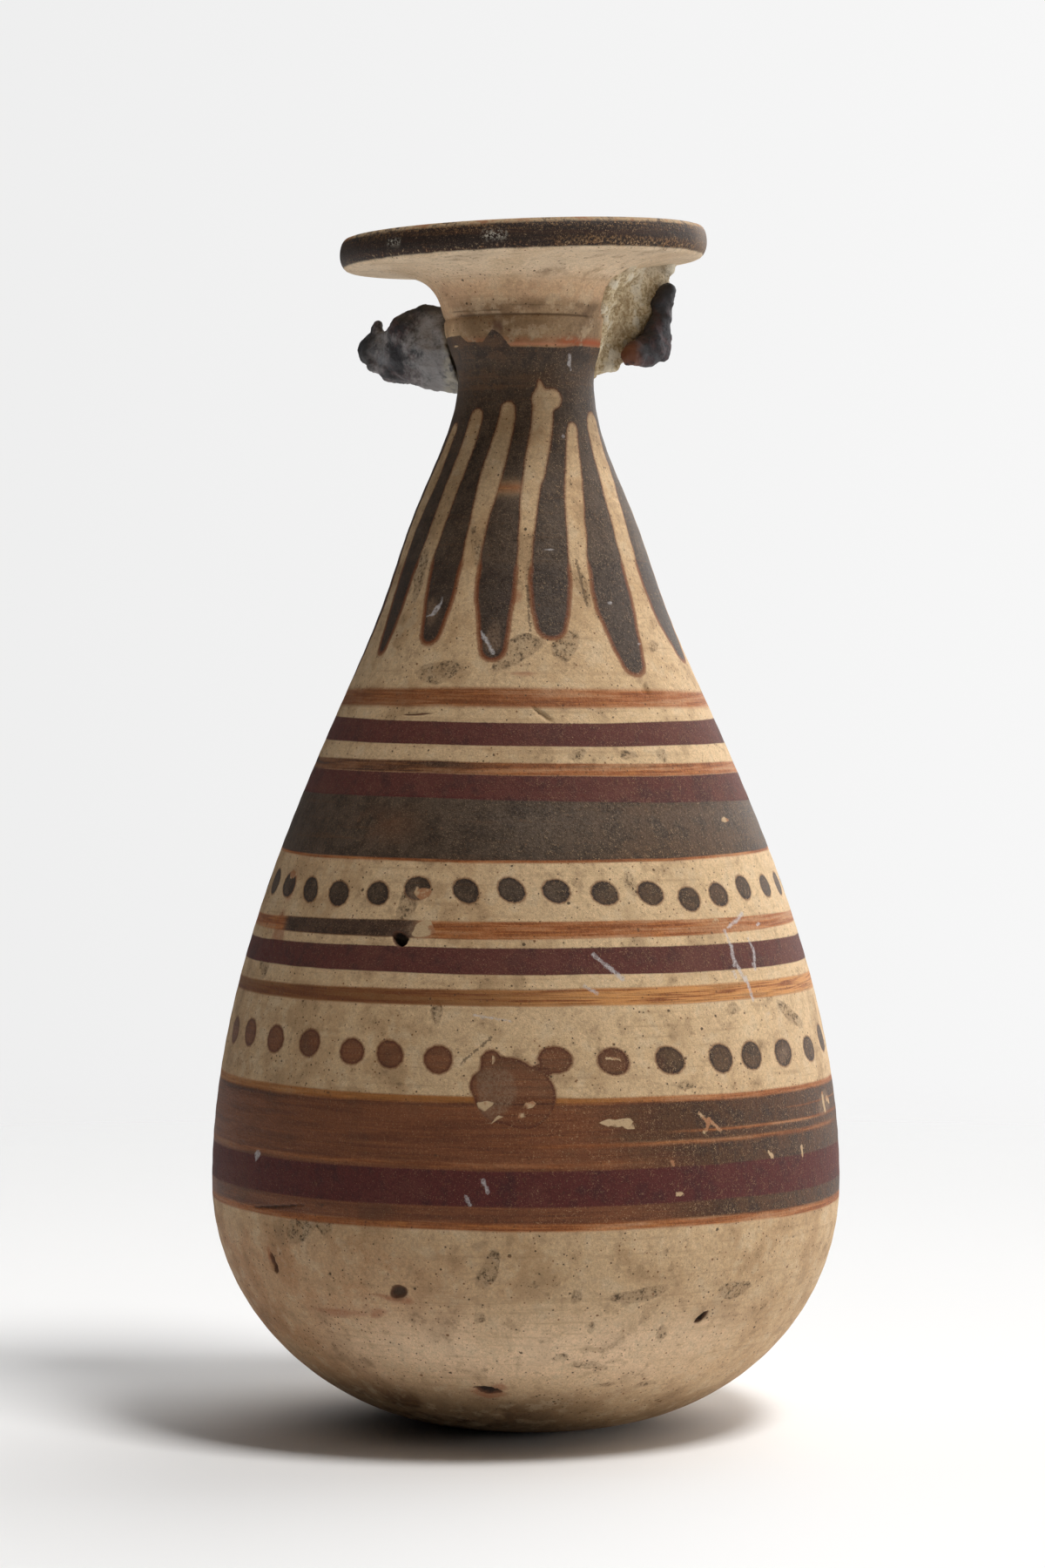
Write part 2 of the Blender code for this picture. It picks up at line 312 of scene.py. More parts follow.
def close_shader(net, colour, roughness, height, shine):
    """Ends a material in its Principled shader; its relief's height is in millimetres."""
    normal = net.add("ShaderNodeBump", None, {"Strength": 1.0, "Distance": 1.0, "Height": height * MM})
    values = {"Base Color": colour, "Roughness": roughness, "Normal": normal, "Specular IOR Level": shine}
    shader = net.add("ShaderNodeBsdfPrincipled", None, values)
    net.add("ShaderNodeOutputMaterial", None, {"Surface": shader})


def new_rule(name, inputs):
    """A Geometry Nodes tree's net and its inputs, each named by (label, socket type, value)."""
    tree = bpy.data.node_groups.new(name, "GeometryNodeTree")
    tree.is_modifier = True
    tree.interface.new_socket("Geometry", in_out="OUTPUT", socket_type="NodeSocketGeometry")
    tree.interface.new_socket("Geometry", in_out="INPUT", socket_type="NodeSocketGeometry")
    for label, kind, value in inputs:
        socket = tree.interface.new_socket(label, in_out="INPUT", socket_type=kind)
        if kind == "NodeSocketFloat":
            socket.subtype = "DISTANCE"
        if kind != "NodeSocketMaterial":
            socket.default_value = value
    net = Net(tree)
    source = tree.nodes.new("NodeGroupInput")
    return net, {socket.name: Wire(net, socket) for socket in source.outputs if socket.name}


def end_rule(net, geometry, material):
    """Ends a tree: what it makes is made real and gets its material."""
    real = net.add("GeometryNodeRealizeInstances", None, (geometry,))
    dressed = net.add("GeometryNodeSetMaterial", None, {"Geometry": real, "Material": material})
    net.add("NodeGroupOutput", None, (dressed,))
    return net.tree


def follow_rule(item, tree, values):
    """Puts a tree on an object, its inputs set by their identifiers, and keeps what it makes as the mesh."""
    modifier = item.modifiers.new(tree.name, "NODES")
    modifier.node_group = tree
    for socket in tree.interface.items_tree:
        if socket.in_out == "INPUT" and socket.name in values:
            modifier[socket.identifier] = values[socket.name]
    depsgraph = bpy.context.evaluated_depsgraph_get()
    depsgraph.update()
    mesh = bpy.data.meshes.new_from_object(
        item.evaluated_get(depsgraph), preserve_all_data_layers=True, depsgraph=depsgraph
    )
    item.modifiers.clear()
    item.data = mesh


def new_piece(name):
    """A new object at the origin, with an empty mesh."""
    item = bpy.data.objects.new(name, bpy.data.meshes.new(name))
    bpy.context.scene.collection.objects.link(item)
    return item


def ease(value):
    """An even S from 0 to 1."""
    share = min(1.0, max(0.0, value))
    return share * share * (3 - 2 * share)


def round_flask(angle):
    """The level direction that points out of the flask at an angle."""
    turn = math.radians(angle)
    return Vector((math.sin(turn), -math.cos(turn), 0))


def flask_rule(sizes):
    """The rule that turns the flask: Bezier stretches of its outline, each swept round as a grid."""
    about = sizes.bl_rna.properties
    labels = FlaskSizes.__annotations__
    inputs = [(about[label].name, "NodeSocketFloat", getattr(sizes, label)) for label in labels]
    inputs.append(("Columns", "NodeSocketInt", COLUMNS))
    inputs.append(("Material", "NodeSocketMaterial", None))
    net, given = new_rule("Turned flask", inputs)
    height, belly, belly_height, base, neck, neck_drop, collar, lip, thickness, bore, wall, uneven = (
        given[entry[0]] for entry in inputs[:len(labels)]
    )
    neck_height = height - neck_drop
    collar_top = neck_height + COLLAR_HEIGHT
    underside = height - thickness
    foot = lip - LIP_UNDERCUT
    rise = neck_height - belly_height
    inner = belly - wall
    trumpet_foot = collar_top + GROOVE_WIDTH
    bulge_height = underside + 0.5 * thickness
    edge = lip - LIP_EDGE_ROUNDING
    mouth = bore + MOUTH_ROUNDING
    floor_edge = base + 0.5 * (inner - base)

    def straight(start, end, rows, outside=True):
        """A straight stretch of the outline, cut into rows."""
        middle = tuple((a + b) * 0.5 for a, b in zip(start, end))
        return start, middle, middle, end, rows, outside

    def bent(start, leave, arrive, end, rows, outside=True):
        """A curved stretch, its two handles given as shares of the way to its end."""
        handles = []
        for share in (leave, arrive):
            handles.append(tuple(a + k * (b - a) for a, b, k in zip(start, end, share)))
        return start, handles[0], handles[1], end, rows, outside

    zero = wall * 0.0
    c = {
        "axis": (zero, zero), "spot": (base, zero),
        "belly": (belly, belly_height), "neck": (neck, neck_height),
        "collar": (collar, collar_top), "groove": (collar - GROOVE_DEPTH, collar_top + GROOVE_WIDTH * 0.5),
        "trumpet": (collar, trumpet_foot), "foot": (foot, underside), "bulge": (lip, bulge_height),
        "edge": (edge, height), "mouth": (mouth, height), "bore": (bore, height - MOUTH_ROUNDING),
        "throat": (bore, neck_height), "hollow": (inner, belly_height), "floor": (floor_edge, wall),
        "pole": (zero, wall),
    }
    stretches = [
        straight(c["axis"], c["spot"], 7),
        (c["spot"], (base + BASE_HANDLE * (belly - base), zero),
         (belly, belly_height * (1 - LOWER_BELLY_HANDLE)), c["belly"], 66, True),
        (c["belly"], (belly, belly_height + UPPER_BELLY_HANDLE * rise),
         (neck, neck_height - SHOULDER_HANDLE * rise), c["neck"], 134, True),
        bent(c["neck"], (0, 0.38), (0.97, 0.58), c["collar"], 12),
        straight(c["collar"], c["groove"], 3),
        straight(c["groove"], c["trumpet"], 3),
        bent(c["trumpet"], (0.088, 0.654), (0.147, 0.942), c["foot"], 24),
        bent(c["foot"], (0.60, 0.05), (1, 0.50), c["bulge"], 6),
        bent(c["bulge"], (0, 0.50), (0.35, 1), c["edge"], 7),
        straight(c["edge"], c["mouth"], 14),
        bent(c["mouth"], (0.55, 0), (1, 0.45), c["bore"], 5, False),
        straight(c["bore"], c["throat"], 8, False),
        (c["throat"], (bore, neck_height - SHOULDER_HANDLE * rise),
         (inner, belly_height + UPPER_BELLY_HANDLE * rise), c["hollow"], 14, False),
        (c["hollow"], (inner, belly_height * (1 - LOWER_BELLY_HANDLE)),
         (floor_edge + 0.28 * (inner - floor_edge), wall), c["floor"], 7, False),
        straight(c["floor"], c["pole"], 4, False),
    ]
    grids = []
    for start, leave, arrive, end, rows, outside in stretches:
        points = [net.vector(radius, 0.0, level) for radius, level in (start, leave, arrive, end)]
        curve = net.add(
            "GeometryNodeCurvePrimitiveBezierSegment", {"mode": "POSITION"},
            {"Resolution": CURVE_STEPS, "Start": points[0], "Start Handle": points[1],
             "End Handle": points[2], "End": points[3]},
        )
        grid = net.add("GeometryNodeMeshGrid", None, (1.0, 1.0, given["Columns"] + 1, rows + 1))
        across, along, _ = net.split(net.add("GeometryNodeInputPosition"))
        values = {"Curves": curve, "Factor": along + 0.5}
        traced = net.add("GeometryNodeSampleCurve", {"mode": "FACTOR"}, values, out=1)
        radius, _, level = net.split(traced)
        turn = (across + 0.5) * (2 * math.pi)
        if outside:
            radius = radius + SWELL_DEPTH * level.bell(neck_height - SWELL_BELOW_NECK, SWELL_SPREAD)
            around = net.vector(turn.maths("COSINE", turn), turn.maths("SINE", turn), level * 22.0)
            stray = net.noise(around, 0.9, 2.0)
            away_from_ends = level.above(0.0, 0.004) * level.below(0.134, 0.1375)
            ridges = level * (2 * math.pi / RIDGE_STEP) + stray * 5.0
            radius = radius - uneven * away_from_ends * (stray + 0.10 * (1 + ridges.maths("SINE", ridges)))
        x = radius * turn.maths("SINE", turn)
        y = -(radius * turn.maths("COSINE", turn))
        lower = level.below(0.0, belly_height)
        upper = level.above(belly_height, neck_height)
        shift = BASE_SHIFT * lower + UPPER_SHIFT * upper
        shift = shift + NECK_SHIFT * level.bell(neck_height, NECK_SHIFT_SPREAD)
        tipped = level + x * TILT_SLOPE * level.above(neck_height, underside)
        place = net.vector(x + shift, y, tipped)
        grids.append(net.add("GeometryNodeSetPosition", None, {"Geometry": grid, "Position": place}))
    joined = net.tree.nodes.new("GeometryNodeJoinGeometry")
    for grid in grids:
        net.tree.links.new(grid.socket, joined.inputs[0])
    parts = Wire(net, joined.outputs[0])
    welded = net.add("GeometryNodeMergeByDistance", None, {"Geometry": parts, "Distance": WELD_REACH})
    smooth = net.add("GeometryNodeSetShadeSmooth", None, (welded,))
    values = {entry[0]: entry[2] for entry in inputs}
    return end_rule(net, smooth, given["Material"]), values


class Surface:
    """The finished turned skin, asked for places by angle and height."""

    def __init__(self, shape):
        self.tree = BVHTree.FromBMesh(shape)

    def at(self, angle, height):
        """The outside's point at an angle and a height, in millimetres as the height is, and its normal."""
        out = round_flask(angle)
        start = out * BEYOND_FLASK + Vector((0, 0, height * MM))
        place, normal, _, _ = self.tree.ray_cast(start, -out)
        if place is None:
            raise RuntimeError(f"nothing of the flask at {angle} degrees, {height} mm")
        return place / MM, normal

    def patch(self, angle, height, tilt):
        """A place's middle, its directions along the surface, sideways and upwards, and its normal."""
        middle, normal = self.at(angle, height)
        side = Vector((0, 0, 1)).cross(normal).normalized()
        rise = normal.cross(side).normalized()
        turn = math.radians(tilt)
        across = side * math.cos(turn) + rise * math.sin(turn)
        up = rise * math.cos(turn) - side * math.sin(turn)
        return np.array(middle), np.array(across), np.array(up), np.array(normal)


# Pits, chips and scratches: angle, height, half width, half height, depth, tilt, share of painted dark shade
# and dirt in each
CARVED = (
    (-26.4, 58.8, 1.25, 0.82, 1.3, -28, 1),  # deep hole
    (-52.8, 21.3, 0.6, 1.35, 0.55, 8, 0.55),  # left slit
    (35.3, 16.1, 1.1, 0.46, 0.7, 40, 0.85),  # right slit
    (-9, 7.7, 1.75, 0.72, 0.6, -12, 0.8),  # base chip
    (-23.6, 19.6, 1.2, 1, 0.42, 20, 0.6),  # spall
    (41.5, 86.5, 0.8, 0.74, 0.3, 0, 0),  # ring chip
    (4.9, 83.8, 1.75, 0.34, 0.34, -38, 0.12),  # dent
    (-50, 28.1, 5.8, 0.15, 0.22, 7, 0.55),  # gouge
    (-33.5, 83.8, 2.6, 0.12, 0.14, 2, 0.4),  # scratch
    (38, 5.2, 0.7, 0.28, 0.3, -20, 0.7),  # small slit
    (158, 24, 1.3, 0.9, 0.5, 25, 0.4),  # back chip
    (-128, 73, 0.8, 0.6, 0.6, -15, 0.8),  # back pit
)
# Room round a pit in which faces are cut and corners looked at, and how far into the wall, all in mm
SIDE_ROOM = 0.8
REACH_ROOM = 1.0
THROUGH_WALL = 2.5
# Cuts of each edge there, one more where a pit is narrower than NARROW mm
CUTS = 2
NARROW = 0.4
# Share of a pit's half width where its floor ends, and the share that its wall takes
PIT_EDGE = 0.45
PIT_WALL = 0.60


def place_on(patch, point, reach):
    """How far a point lies sideways and up from a patch's middle, in mm, or None when it is out of reach."""
    middle, across, up, normal = patch
    away = np.array(point) / MM - middle
    if abs(away[2]) > reach or abs(away @ normal) > THROUGH_WALL:
        return None
    return away @ across, away @ up


def carve(shape, surface):
    """Cuts the larger pits, chips and scratches into the skin, with finer faces round each of them."""
    for angle, height, half_width, half_height, depth, tilt, _ in CARVED:
        patch = surface.patch(angle, height, tilt)
        reach = max(half_width, half_height) + REACH_ROOM
        chosen = set()
        for face in shape.faces:
            place = place_on(patch, face.calc_center_median(), reach)
            if place and abs(place[0]) < half_width + SIDE_ROOM and abs(place[1]) < half_height + SIDE_ROOM:
                chosen.update(face.edges)
        cuts = CUTS + 1 if min(half_width, half_height) < NARROW else CUTS
        bmesh.ops.subdivide_edges(shape, edges=list(chosen), cuts=cuts, use_grid_fill=True)
        for corner in shape.verts:
            place = place_on(patch, corner.co, reach)
            if place is None:
                continue
            along, rise = place[0] / half_width, place[1] / half_height
            bearing = math.atan2(rise, along)
            ragged = 1 + 0.10 * math.sin(3 * bearing + angle) + 0.06 * math.sin(7 * bearing + height)
            share = math.hypot(along, rise) / ragged
            if share < PIT_EDGE + PIT_WALL:
                sunk = depth * (1 - ease((share - PIT_EDGE) / PIT_WALL))
                corner.co -= Vector(patch[3]) * (sunk * MM)


# Brushed tongues of the shoulder, each a stroke down the wall: height, angle and half width in mm
FRONT_TONGUES = (
    ((118, -55.5, 0.95), (110, -57.5, 1.13), (105, -60.3, 1.7), (100, -63, 1.62), (95, -62.6, 1.42),
     (91.4, -62, 0.85)),
    ((118, -28, 1.25), (112, -34, 1.14), (107, -35.5, 1.62), (101, -37.7, 2.18), (96, -37.3, 1.85),
     (93, -37.3, 1.3)),
    ((118, -1, 0.95), (113, -6.8, 1.08), (109, -9.6, 1.38), (105, -11.5, 2), (98, -12.8, 2.27),
     (91.3, -11.7, 1.45)),
    ((118, 28, 0.85), (113, 20, 1.18), (109, 14.4, 1.52), (104, 11.7, 2), (98, 10.1, 2.38),
     (94, 9.5, 1.75)),
    ((118, 49, 0.85), (112.5, 44.5, 1.38), (107, 40.5, 1.93), (102, 38.8, 2.5), (96, 38.7, 2.85),
     (89.7, 39.8, 1.7)),
    ((118, 81, 1.1), (112, 77.5, 1.43), (107, 73.5, 2.39), (101, 72.5, 3.05), (96, 73.2, 3.2),
     (91.4, 75, 1.9)),
)
TONGUE_TOP = 118.0
TONGUE_STEPS = 15
GAP_STEPS = 6
BACK_TONGUES = 8
# Heights where the bare gaps between the tongues end under the neck, from the one left of the first tongue
GAP_TOPS = (117.6, 119.1, 119.9, 120.6, 117.5, 118.9)
GAP_FOOT = 111.0
NARROWEST_GAP = 0.25
NECK_PAINT_FOOT = 113.0
# The wide bare head and its tip over the gap right of the middle: angle and height of both ends, half widths
BARE_TIPS = ((((12.0, 120.2), (22.0, 120.2)), (1.12, 1.22)), (((12.5, 121.2), (11.0, 122.3)), (0.60, 0.12)))
# Upper edge of the neck's dark paint: angle and height
NECK_EDGE = (
    (-180, 126.9), (-130, 127.3), (-75, 127.7), (-55, 127.7), (-49, 126.9), (-34, 126.8), (-25, 128.2),
    (-19, 127.7), (-12, 126.2), (30, 126.15), (40, 126.4), (90, 126.5), (140, 127), (180, 126.9),
)
# Middles of the dots: angle and height
UPPER_DOTS = (
    (-75, 64.1), (-65, 64), (-54.5, 63.7), (-44.5, 63.5), (-33.5, 63.7), (-24, 64.4), (-12.9, 64.2),
    (-3.1, 64.3), (6.5, 64.2), (17, 63.9), (27.7, 63.8), (37.4, 63), (46.3, 63.3), (56, 63.9), (67, 63.8),
    (78, 63.8),
)
LOWER_DOTS = (
    (-74.5, 46.9), (-65, 47.1), (-54.5, 46.8), (-44.2, 46.8), (-33.7, 46.2), (-25.6, 46.1), (-16.1, 45.7),
    (5.3, 45.8), (16, 45.5), (27, 45.4), (38.3, 45.3), (46.2, 45.3), (56.2, 45.2), (67.5, 45.1), (78, 45.8),
)
DOT_STEP = 10.3
DOT_LUMPS = 0.035
MIDDLE = 2
RIGHT_EDGE = 90
# Angle from which the dots on the right are narrower, and by what share
NARROW_FROM = 34
NARROWER = 0.93
# Half widths of the dots left and right of the middle, and their half height, for each row
DOT_ROWS = ((UPPER_DOTS, 1.70, 1.66, 1.40), (LOWER_DOTS, 1.72, 1.92, 1.54))
# The blot that ran down from a dot into the broad zone: angle, height and radius of its dabs
BLOT = (
    (-6.4, 45.75, 1.15), (-7.3, 43, 1.75), (-3.4, 42.4, 3.75), (-0.4, 41.7, 3.55),
)
# Places without paint: angle, height, half width, half height, tilt
BARE = (
    (14.8, 38.75, 1.2, 0.42, 0), (17.6, 38.65, 1.3, 0.5, -6), (-4.5, 39.4, 0.5, 0.34, 0),
    (-7.3, 40.8, 0.8, 0.65, 20), (-1, 39.8, 0.55, 0.42, 0), (1.2, 41, 0.46, 0.3, -30),
    (-5.7, 45.9, 0.36, 0.5, 0), (6.3, 40.6, 0.62, 0.3, -10), (-6.6, 38.9, 0.3, 0.24, 0),
    (-0.3, 41.2, 0.22, 0.6, 10), (57.5, 71.6, 0.8, 0.48, 0), (-22.6, 63.9, 1.15, 0.8, -24),
    (-21.2, 59.9, 1.6, 0.8, 10), (-67, 126.6, 1.15, 0.16, 0), (-64.6, 65.2, 0.9, 0.7, 0),
    (-20.5, 46.2, 0.3, 0.2, 0), (120, 39, 1.6, 0.5, 8), (-150, 37, 1.2, 0.7, -20), (170, 71, 0.9, 0.5, 0),
    (-110, 57, 1.3, 0.3, 5),
)
# Grey smudges of soil: angle, height, half width, half height, tilt
SMUDGES = (
    (1.8, 20.9, 0.9, 0.7, 0), (3.6, 15.5, 0.7, 0.6, 0), (12, 15.7, 0.8, 0.8, 0), (27, 14.5, 0.9, 1, 0),
    (6.9, 12, 1.1, 0.9, 0), (13.6, 10.9, 2.2, 0.9, -14), (18.6, 8.3, 1.6, 0.7, 0), (28.4, 8, 1.5, 0.8, 10),
    (-6.6, 22.4, 1.3, 2.4, -22), (-8, 25.4, 1.4, 0.6, 0), (21, 19.4, 4, 1, 4), (41.6, 19, 2.6, 1.3, 8),
    (-8.8, 17, 0.7, 1.1, 0), (-44, 25.8, 2.6, 1.6, 30), (-38, 26.6, 1.6, 1.3, 0),
    (17.9, 18.4, 0.35, 1, -12), (9, 19.4, 0.8, 0.9, 0), (-25.4, 21.4, 0.5, 0.5, 0),
    (25.2, 24.2, 0.5, 0.5, 0), (22.4, 16.6, 0.8, 0.5, 0), (20.5, 128.3, 0.3, 0.25, 0),
    (-5, 132.8, 0.25, 0.2, 0), (8, 127.5, 0.3, 0.35, 0), (52, 129.6, 0.3, 0.4, 30), (-52, 100, 1.2, 3, 0),
    (-23, 103, 0.9, 3, 10), (-3, 91, 4.2, 1.4, 30), (14, 91.5, 1.4, 2.6, -25), (-30, 88.6, 3.2, 1.6, 0),
    (-26, 62.3, 1.5, 2, 0), (-17, 50.8, 0.8, 1.6, 12), (23.5, 64.6, 0.9, 2, 40), (43.2, 50.6, 1.1, 0.9, 0),
    (62, 49.2, 3.2, 1, -24), (55, 51.6, 1.4, 0.8, 60), (-28.8, 52.5, 1, 0.7, 0), (14, 79.2, 1, 1.1, 0),
    (28.6, 79.2, 1.5, 0.8, 0), (40.4, 79, 0.8, 0.9, 0), (-66, 55, 1.4, 2, 30), (2, 100, 0.8, 5, -4),
    (24, 98.5, 1, 2.6, 20), (53, 91.5, 1.4, 0.8, 10), (39, 131.3, 0.5, 0.4, 0), (49, 130.7, 0.35, 0.3, 0),
    (54, 130.3, 0.35, 0.3, 0), (1.5, 131.5, 0.32, 0.2, 0), (30, 42.6, 1.6, 0.8, 0),
)
# Reddish stains: angle, height, half width, half height, tilt
STAINS = (
    (-39, 16.4, 5.6, 0.5, 3), (-29, 16.8, 1.4, 0.55, 8), (-25.6, 18.8, 1.9, 0.42, -12),
    (-22.4, 18.6, 0.9, 0.5, 0), (-6, 8.2, 1, 0.7, 20), (-9, 7.2, 1.8, 0.9, 0), (-63, 58.2, 1.8, 2.4, 10),
    (-63, 64, 0.7, 2.2, 0), (-53.4, 22.4, 0.5, 0.8, 0), (0, 88.3, 1.6, 0.3, 0), (-7, 97, 1.6, 1.2, 30),
)
# Whitish crusty flecks: angle, height, half width, half height, tilt
FLECKS = (
    (45.4, 54.4, 0.55, 0.45, 0), (52.2, 55.2, 0.45, 0.4, 30), (49.6, 51.4, 0.3, 0.4, 0),
    (53.4, 49.8, 0.25, 0.7, -20), (57.4, 59.6, 1, 0.2, 20), (-56, 33.6, 0.9, 0.4, 40),
    (37.5, 125, 0.22, 0.5, 10), (39, 124, 0.2, 0.5, 30), (27.6, 116, 0.28, 0.28, 0),
    (-41, 94.9, 0.5, 0.2, 0), (-37.6, 95.6, 0.35, 0.7, -40), (-36, 96.8, 0.3, 0.3, 0),
    (-15, 92.4, 0.8, 0.22, -35), (-12, 91, 0.5, 0.2, -35), (45, 91.6, 0.5, 0.16, 30),
    (11, 102.7, 0.6, 0.16, 0), (36, 96.5, 0.25, 0.2, 0), (44, 40.6, 0.3, 0.25, 0),
)
# Fine straight marks: angle and height of both ends, half width
PALE_MARKS = (
    (13.4, 57.2, 16, 55.9, 0.22), (15.8, 56, 18.9, 54.5, 0.3), (45.4, 59.3, 46.4, 57.2, 0.24),
    (46.4, 57.6, 46, 55.4, 0.34), (46.2, 56, 48.2, 53.6, 0.3), (52.4, 58.2, 53.4, 56.6, 0.2),
    (53.4, 57, 52.2, 54.8, 0.26), (46.6, 59.6, 50, 60.4, 0.2), (49.6, 60.2, 52.6, 61, 0.26),
    (48.6, 54, 49.4, 51.4, 0.24), (-7.4, 32.6, -6.6, 31.2, 0.22), (-10.4, 30.8, -9.6, 29.8, 0.18),
    (-41.2, 94.9, -37.4, 95.4, 0.16), (-16.6, 93.2, -11.4, 90.7, 0.18), (-9.6, 50.6, -3, 50, 0.12),
    (11.2, 53.8, 13.6, 53, 0.2),
)
BARE_MARKS = (
    (32.2, 39.4, 34.1, 38.2, 0.24), (34.1, 38.2, 33, 37.3, 0.2), (34, 38.7, 36.4, 37.4, 0.22),
    (71, 39.6, 71.6, 37.8, 0.4), (74, 39, 75.4, 38.6, 0.4), (48.2, 34.3, 49.2, 33.8, 0.24),
    (58.7, 34.3, 58.9, 33.4, 0.26), (26.1, 34.3, 26.3, 33.9, 0.24), (27, 30.6, 27.9, 30.6, 0.2),
    (42.9, 60.4, 43.8, 60.5, 0.24), (14.6, 45.9, 17.2, 45.7, 0.12),
)
DARK_MARKS = (
    (-62, 27.6, -38, 28.9, 0.1), (-11.8, 45.4, -6.4, 48.2, 0.14), (0.6, 98.4, 1.6, 92.6, 0.12),
    (23, 101.5, 25, 96, 0.14),
)
MARK_CORE = 0.85
# Places where the paint is rubbed thin: angle, height, half width, half height, tilt
THIN = (
    (-5.6, 42.2, 2.5, 2.4, -30), (-3.8, 44, 1.6, 0.7, -40), (-24, 63.7, 1.3, 0.8, -10),
    (-24.5, 65, 0.7, 0.3, -20), (-22, 59.8, 2.2, 0.9, 0), (12, 64.3, 0.8, 0.5, 0), (72, 38.6, 3, 1.2, 10),
    (56, 45, 1.2, 0.9, 0), (-39, 95.5, 0.9, 1.6, 0), (-12, 92.5, 1.2, 1.6, 0), (140, 63.9, 1.4, 0.9, 0),
    (-160, 46, 1.6, 1, 0),
)
# Distances are only worked out up to this one, and only between these heights
FAR = 6.0
TONGUE_ZONE = (80, 200)
DOT_ZONE = (36, 70)
PATCH_LUMPS = 0.25
PIT_LUMPS = 0.1
PAINT_SEED = 11
SLIVER = 1e-7


def ellipse_distance(points, surface, entry, lumps):
    """Distance in mm of points from the edge of an uneven ellipse on the flask, below 0 inside."""
    angle, height, half_width, half_height, tilt = entry
    middle, across, up, _ = surface.patch(angle, height, tilt)
    away = points - middle
    along, rise = away @ across / half_width, away @ up / half_height
    bearing = np.arctan2(rise, along)
    phase = math.radians(angle * 7 + height * 31)
    ragged = 1 + lumps * (0.6 * np.sin(2 * bearing + phase) + 0.5 * np.sin(3 * bearing - 2 * phase))
    small, large = sorted((half_width, half_height))
    flat = (np.hypot(along, rise) / ragged - 1) * (0.7 * small + 0.3 * min(large, 3 * small))
    return np.maximum(flat, np.linalg.norm(away, axis=1) - FAR)


def stroke_distance(points, places, halves):
    """Distance in mm of points from a brush stroke through places, with a half width at each."""
    nearest = np.full(len(points), FAR)
    for start, end, near, far in zip(places, places[1:], halves, halves[1:]):
        run = end - start
        share = np.clip((points - start) @ run / max(run @ run, 1e-9), 0, 1)
        away = np.linalg.norm(points - start - share[:, None] * run, axis=1)
        nearest = np.minimum(nearest, away - (near + (far - near) * share))
    return nearest


def tongues(chance):
    """The measured tongues of the front and more like them round the back, by angle."""
    row = list(FRONT_TONGUES)
    first, last = FRONT_TONGUES[0][-1][1], FRONT_TONGUES[-1][-1][1]
    step = (360 - (last - first)) / (BACK_TONGUES + 1)
    for place in range(BACK_TONGUES):
        like = chance.choice(FRONT_TONGUES[1:5])
        turn = last + step * (place + 1) + chance.uniform(-1.5, 1.5) - like[-1][1]
        wide, lower = chance.uniform(0.92, 1.1), chance.uniform(-1.2, 0.8)
        stroke = [(h + (lower if h < 100 else 0), angle + turn, half * wide) for h, angle, half in like]
        row.append(tuple(stroke))
    return row


def tongue_middle(tongue, height):
    """Angle of a tongue's middle line at a height, and its half width in mm there."""
    heights, angles, halves = (list(values)[::-1] for values in zip(*tongue))
    return float(np.interp(height, heights, angles)), float(np.interp(height, heights, halves))


def tongue_distance(points, surface, chance):
    """Signed distance to the dark paint of the neck and the tongues that hang from it."""
    angles = np.degrees(np.arctan2(points[:, 0], -points[:, 1]))
    edge_angles, edge_heights = zip(*NECK_EDGE)
    over_edge = points[:, 2] - np.interp(angles, edge_angles, edge_heights)
    dark = np.maximum(NECK_PAINT_FOOT - points[:, 2], over_edge)
    row = tongues(chance)
    for tongue in row:
        places, halves = [], []
        for height in np.linspace(TONGUE_TOP, tongue[-1][0], TONGUE_STEPS):
            angle, half = tongue_middle(tongue, height)
            places.append(np.array(surface.at(angle, height)[0]))
            halves.append(half * (1 + 0.03 * math.sin(height * 1.3 + angle)))
        dark = np.minimum(dark, stroke_distance(points, places, halves))
    for place, right in enumerate(row):
        left = row[place - 1]
        turned = -360 if place == 0 else 0
        top = GAP_TOPS[place] if place < len(GAP_TOPS) else chance.uniform(117.5, 120.0)
        places, halves = [], []
        for height in np.linspace(top, GAP_FOOT, GAP_STEPS):
            left_angle, left_half = tongue_middle(left, height)
            right_angle, right_half = tongue_middle(right, height)
            left_angle += turned
            spot, _ = surface.at((left_angle + right_angle) / 2, height)
            radius = math.hypot(spot.x, spot.y)
            clear = math.radians(right_angle - left_angle) / 2 * radius - (left_half + right_half) / 2
            places.append(np.array(spot))
            halves.append(max(NARROWEST_GAP, clear))
        places[0] = places[0] - np.array((0, 0, halves[0]))
        dark = np.maximum(dark, -stroke_distance(points, places, halves))
    for ends, halves in BARE_TIPS:
        places = [np.array(surface.at(angle, height)[0]) for angle, height in ends]
        dark = np.maximum(dark, -stroke_distance(points, places, halves))
    return dark


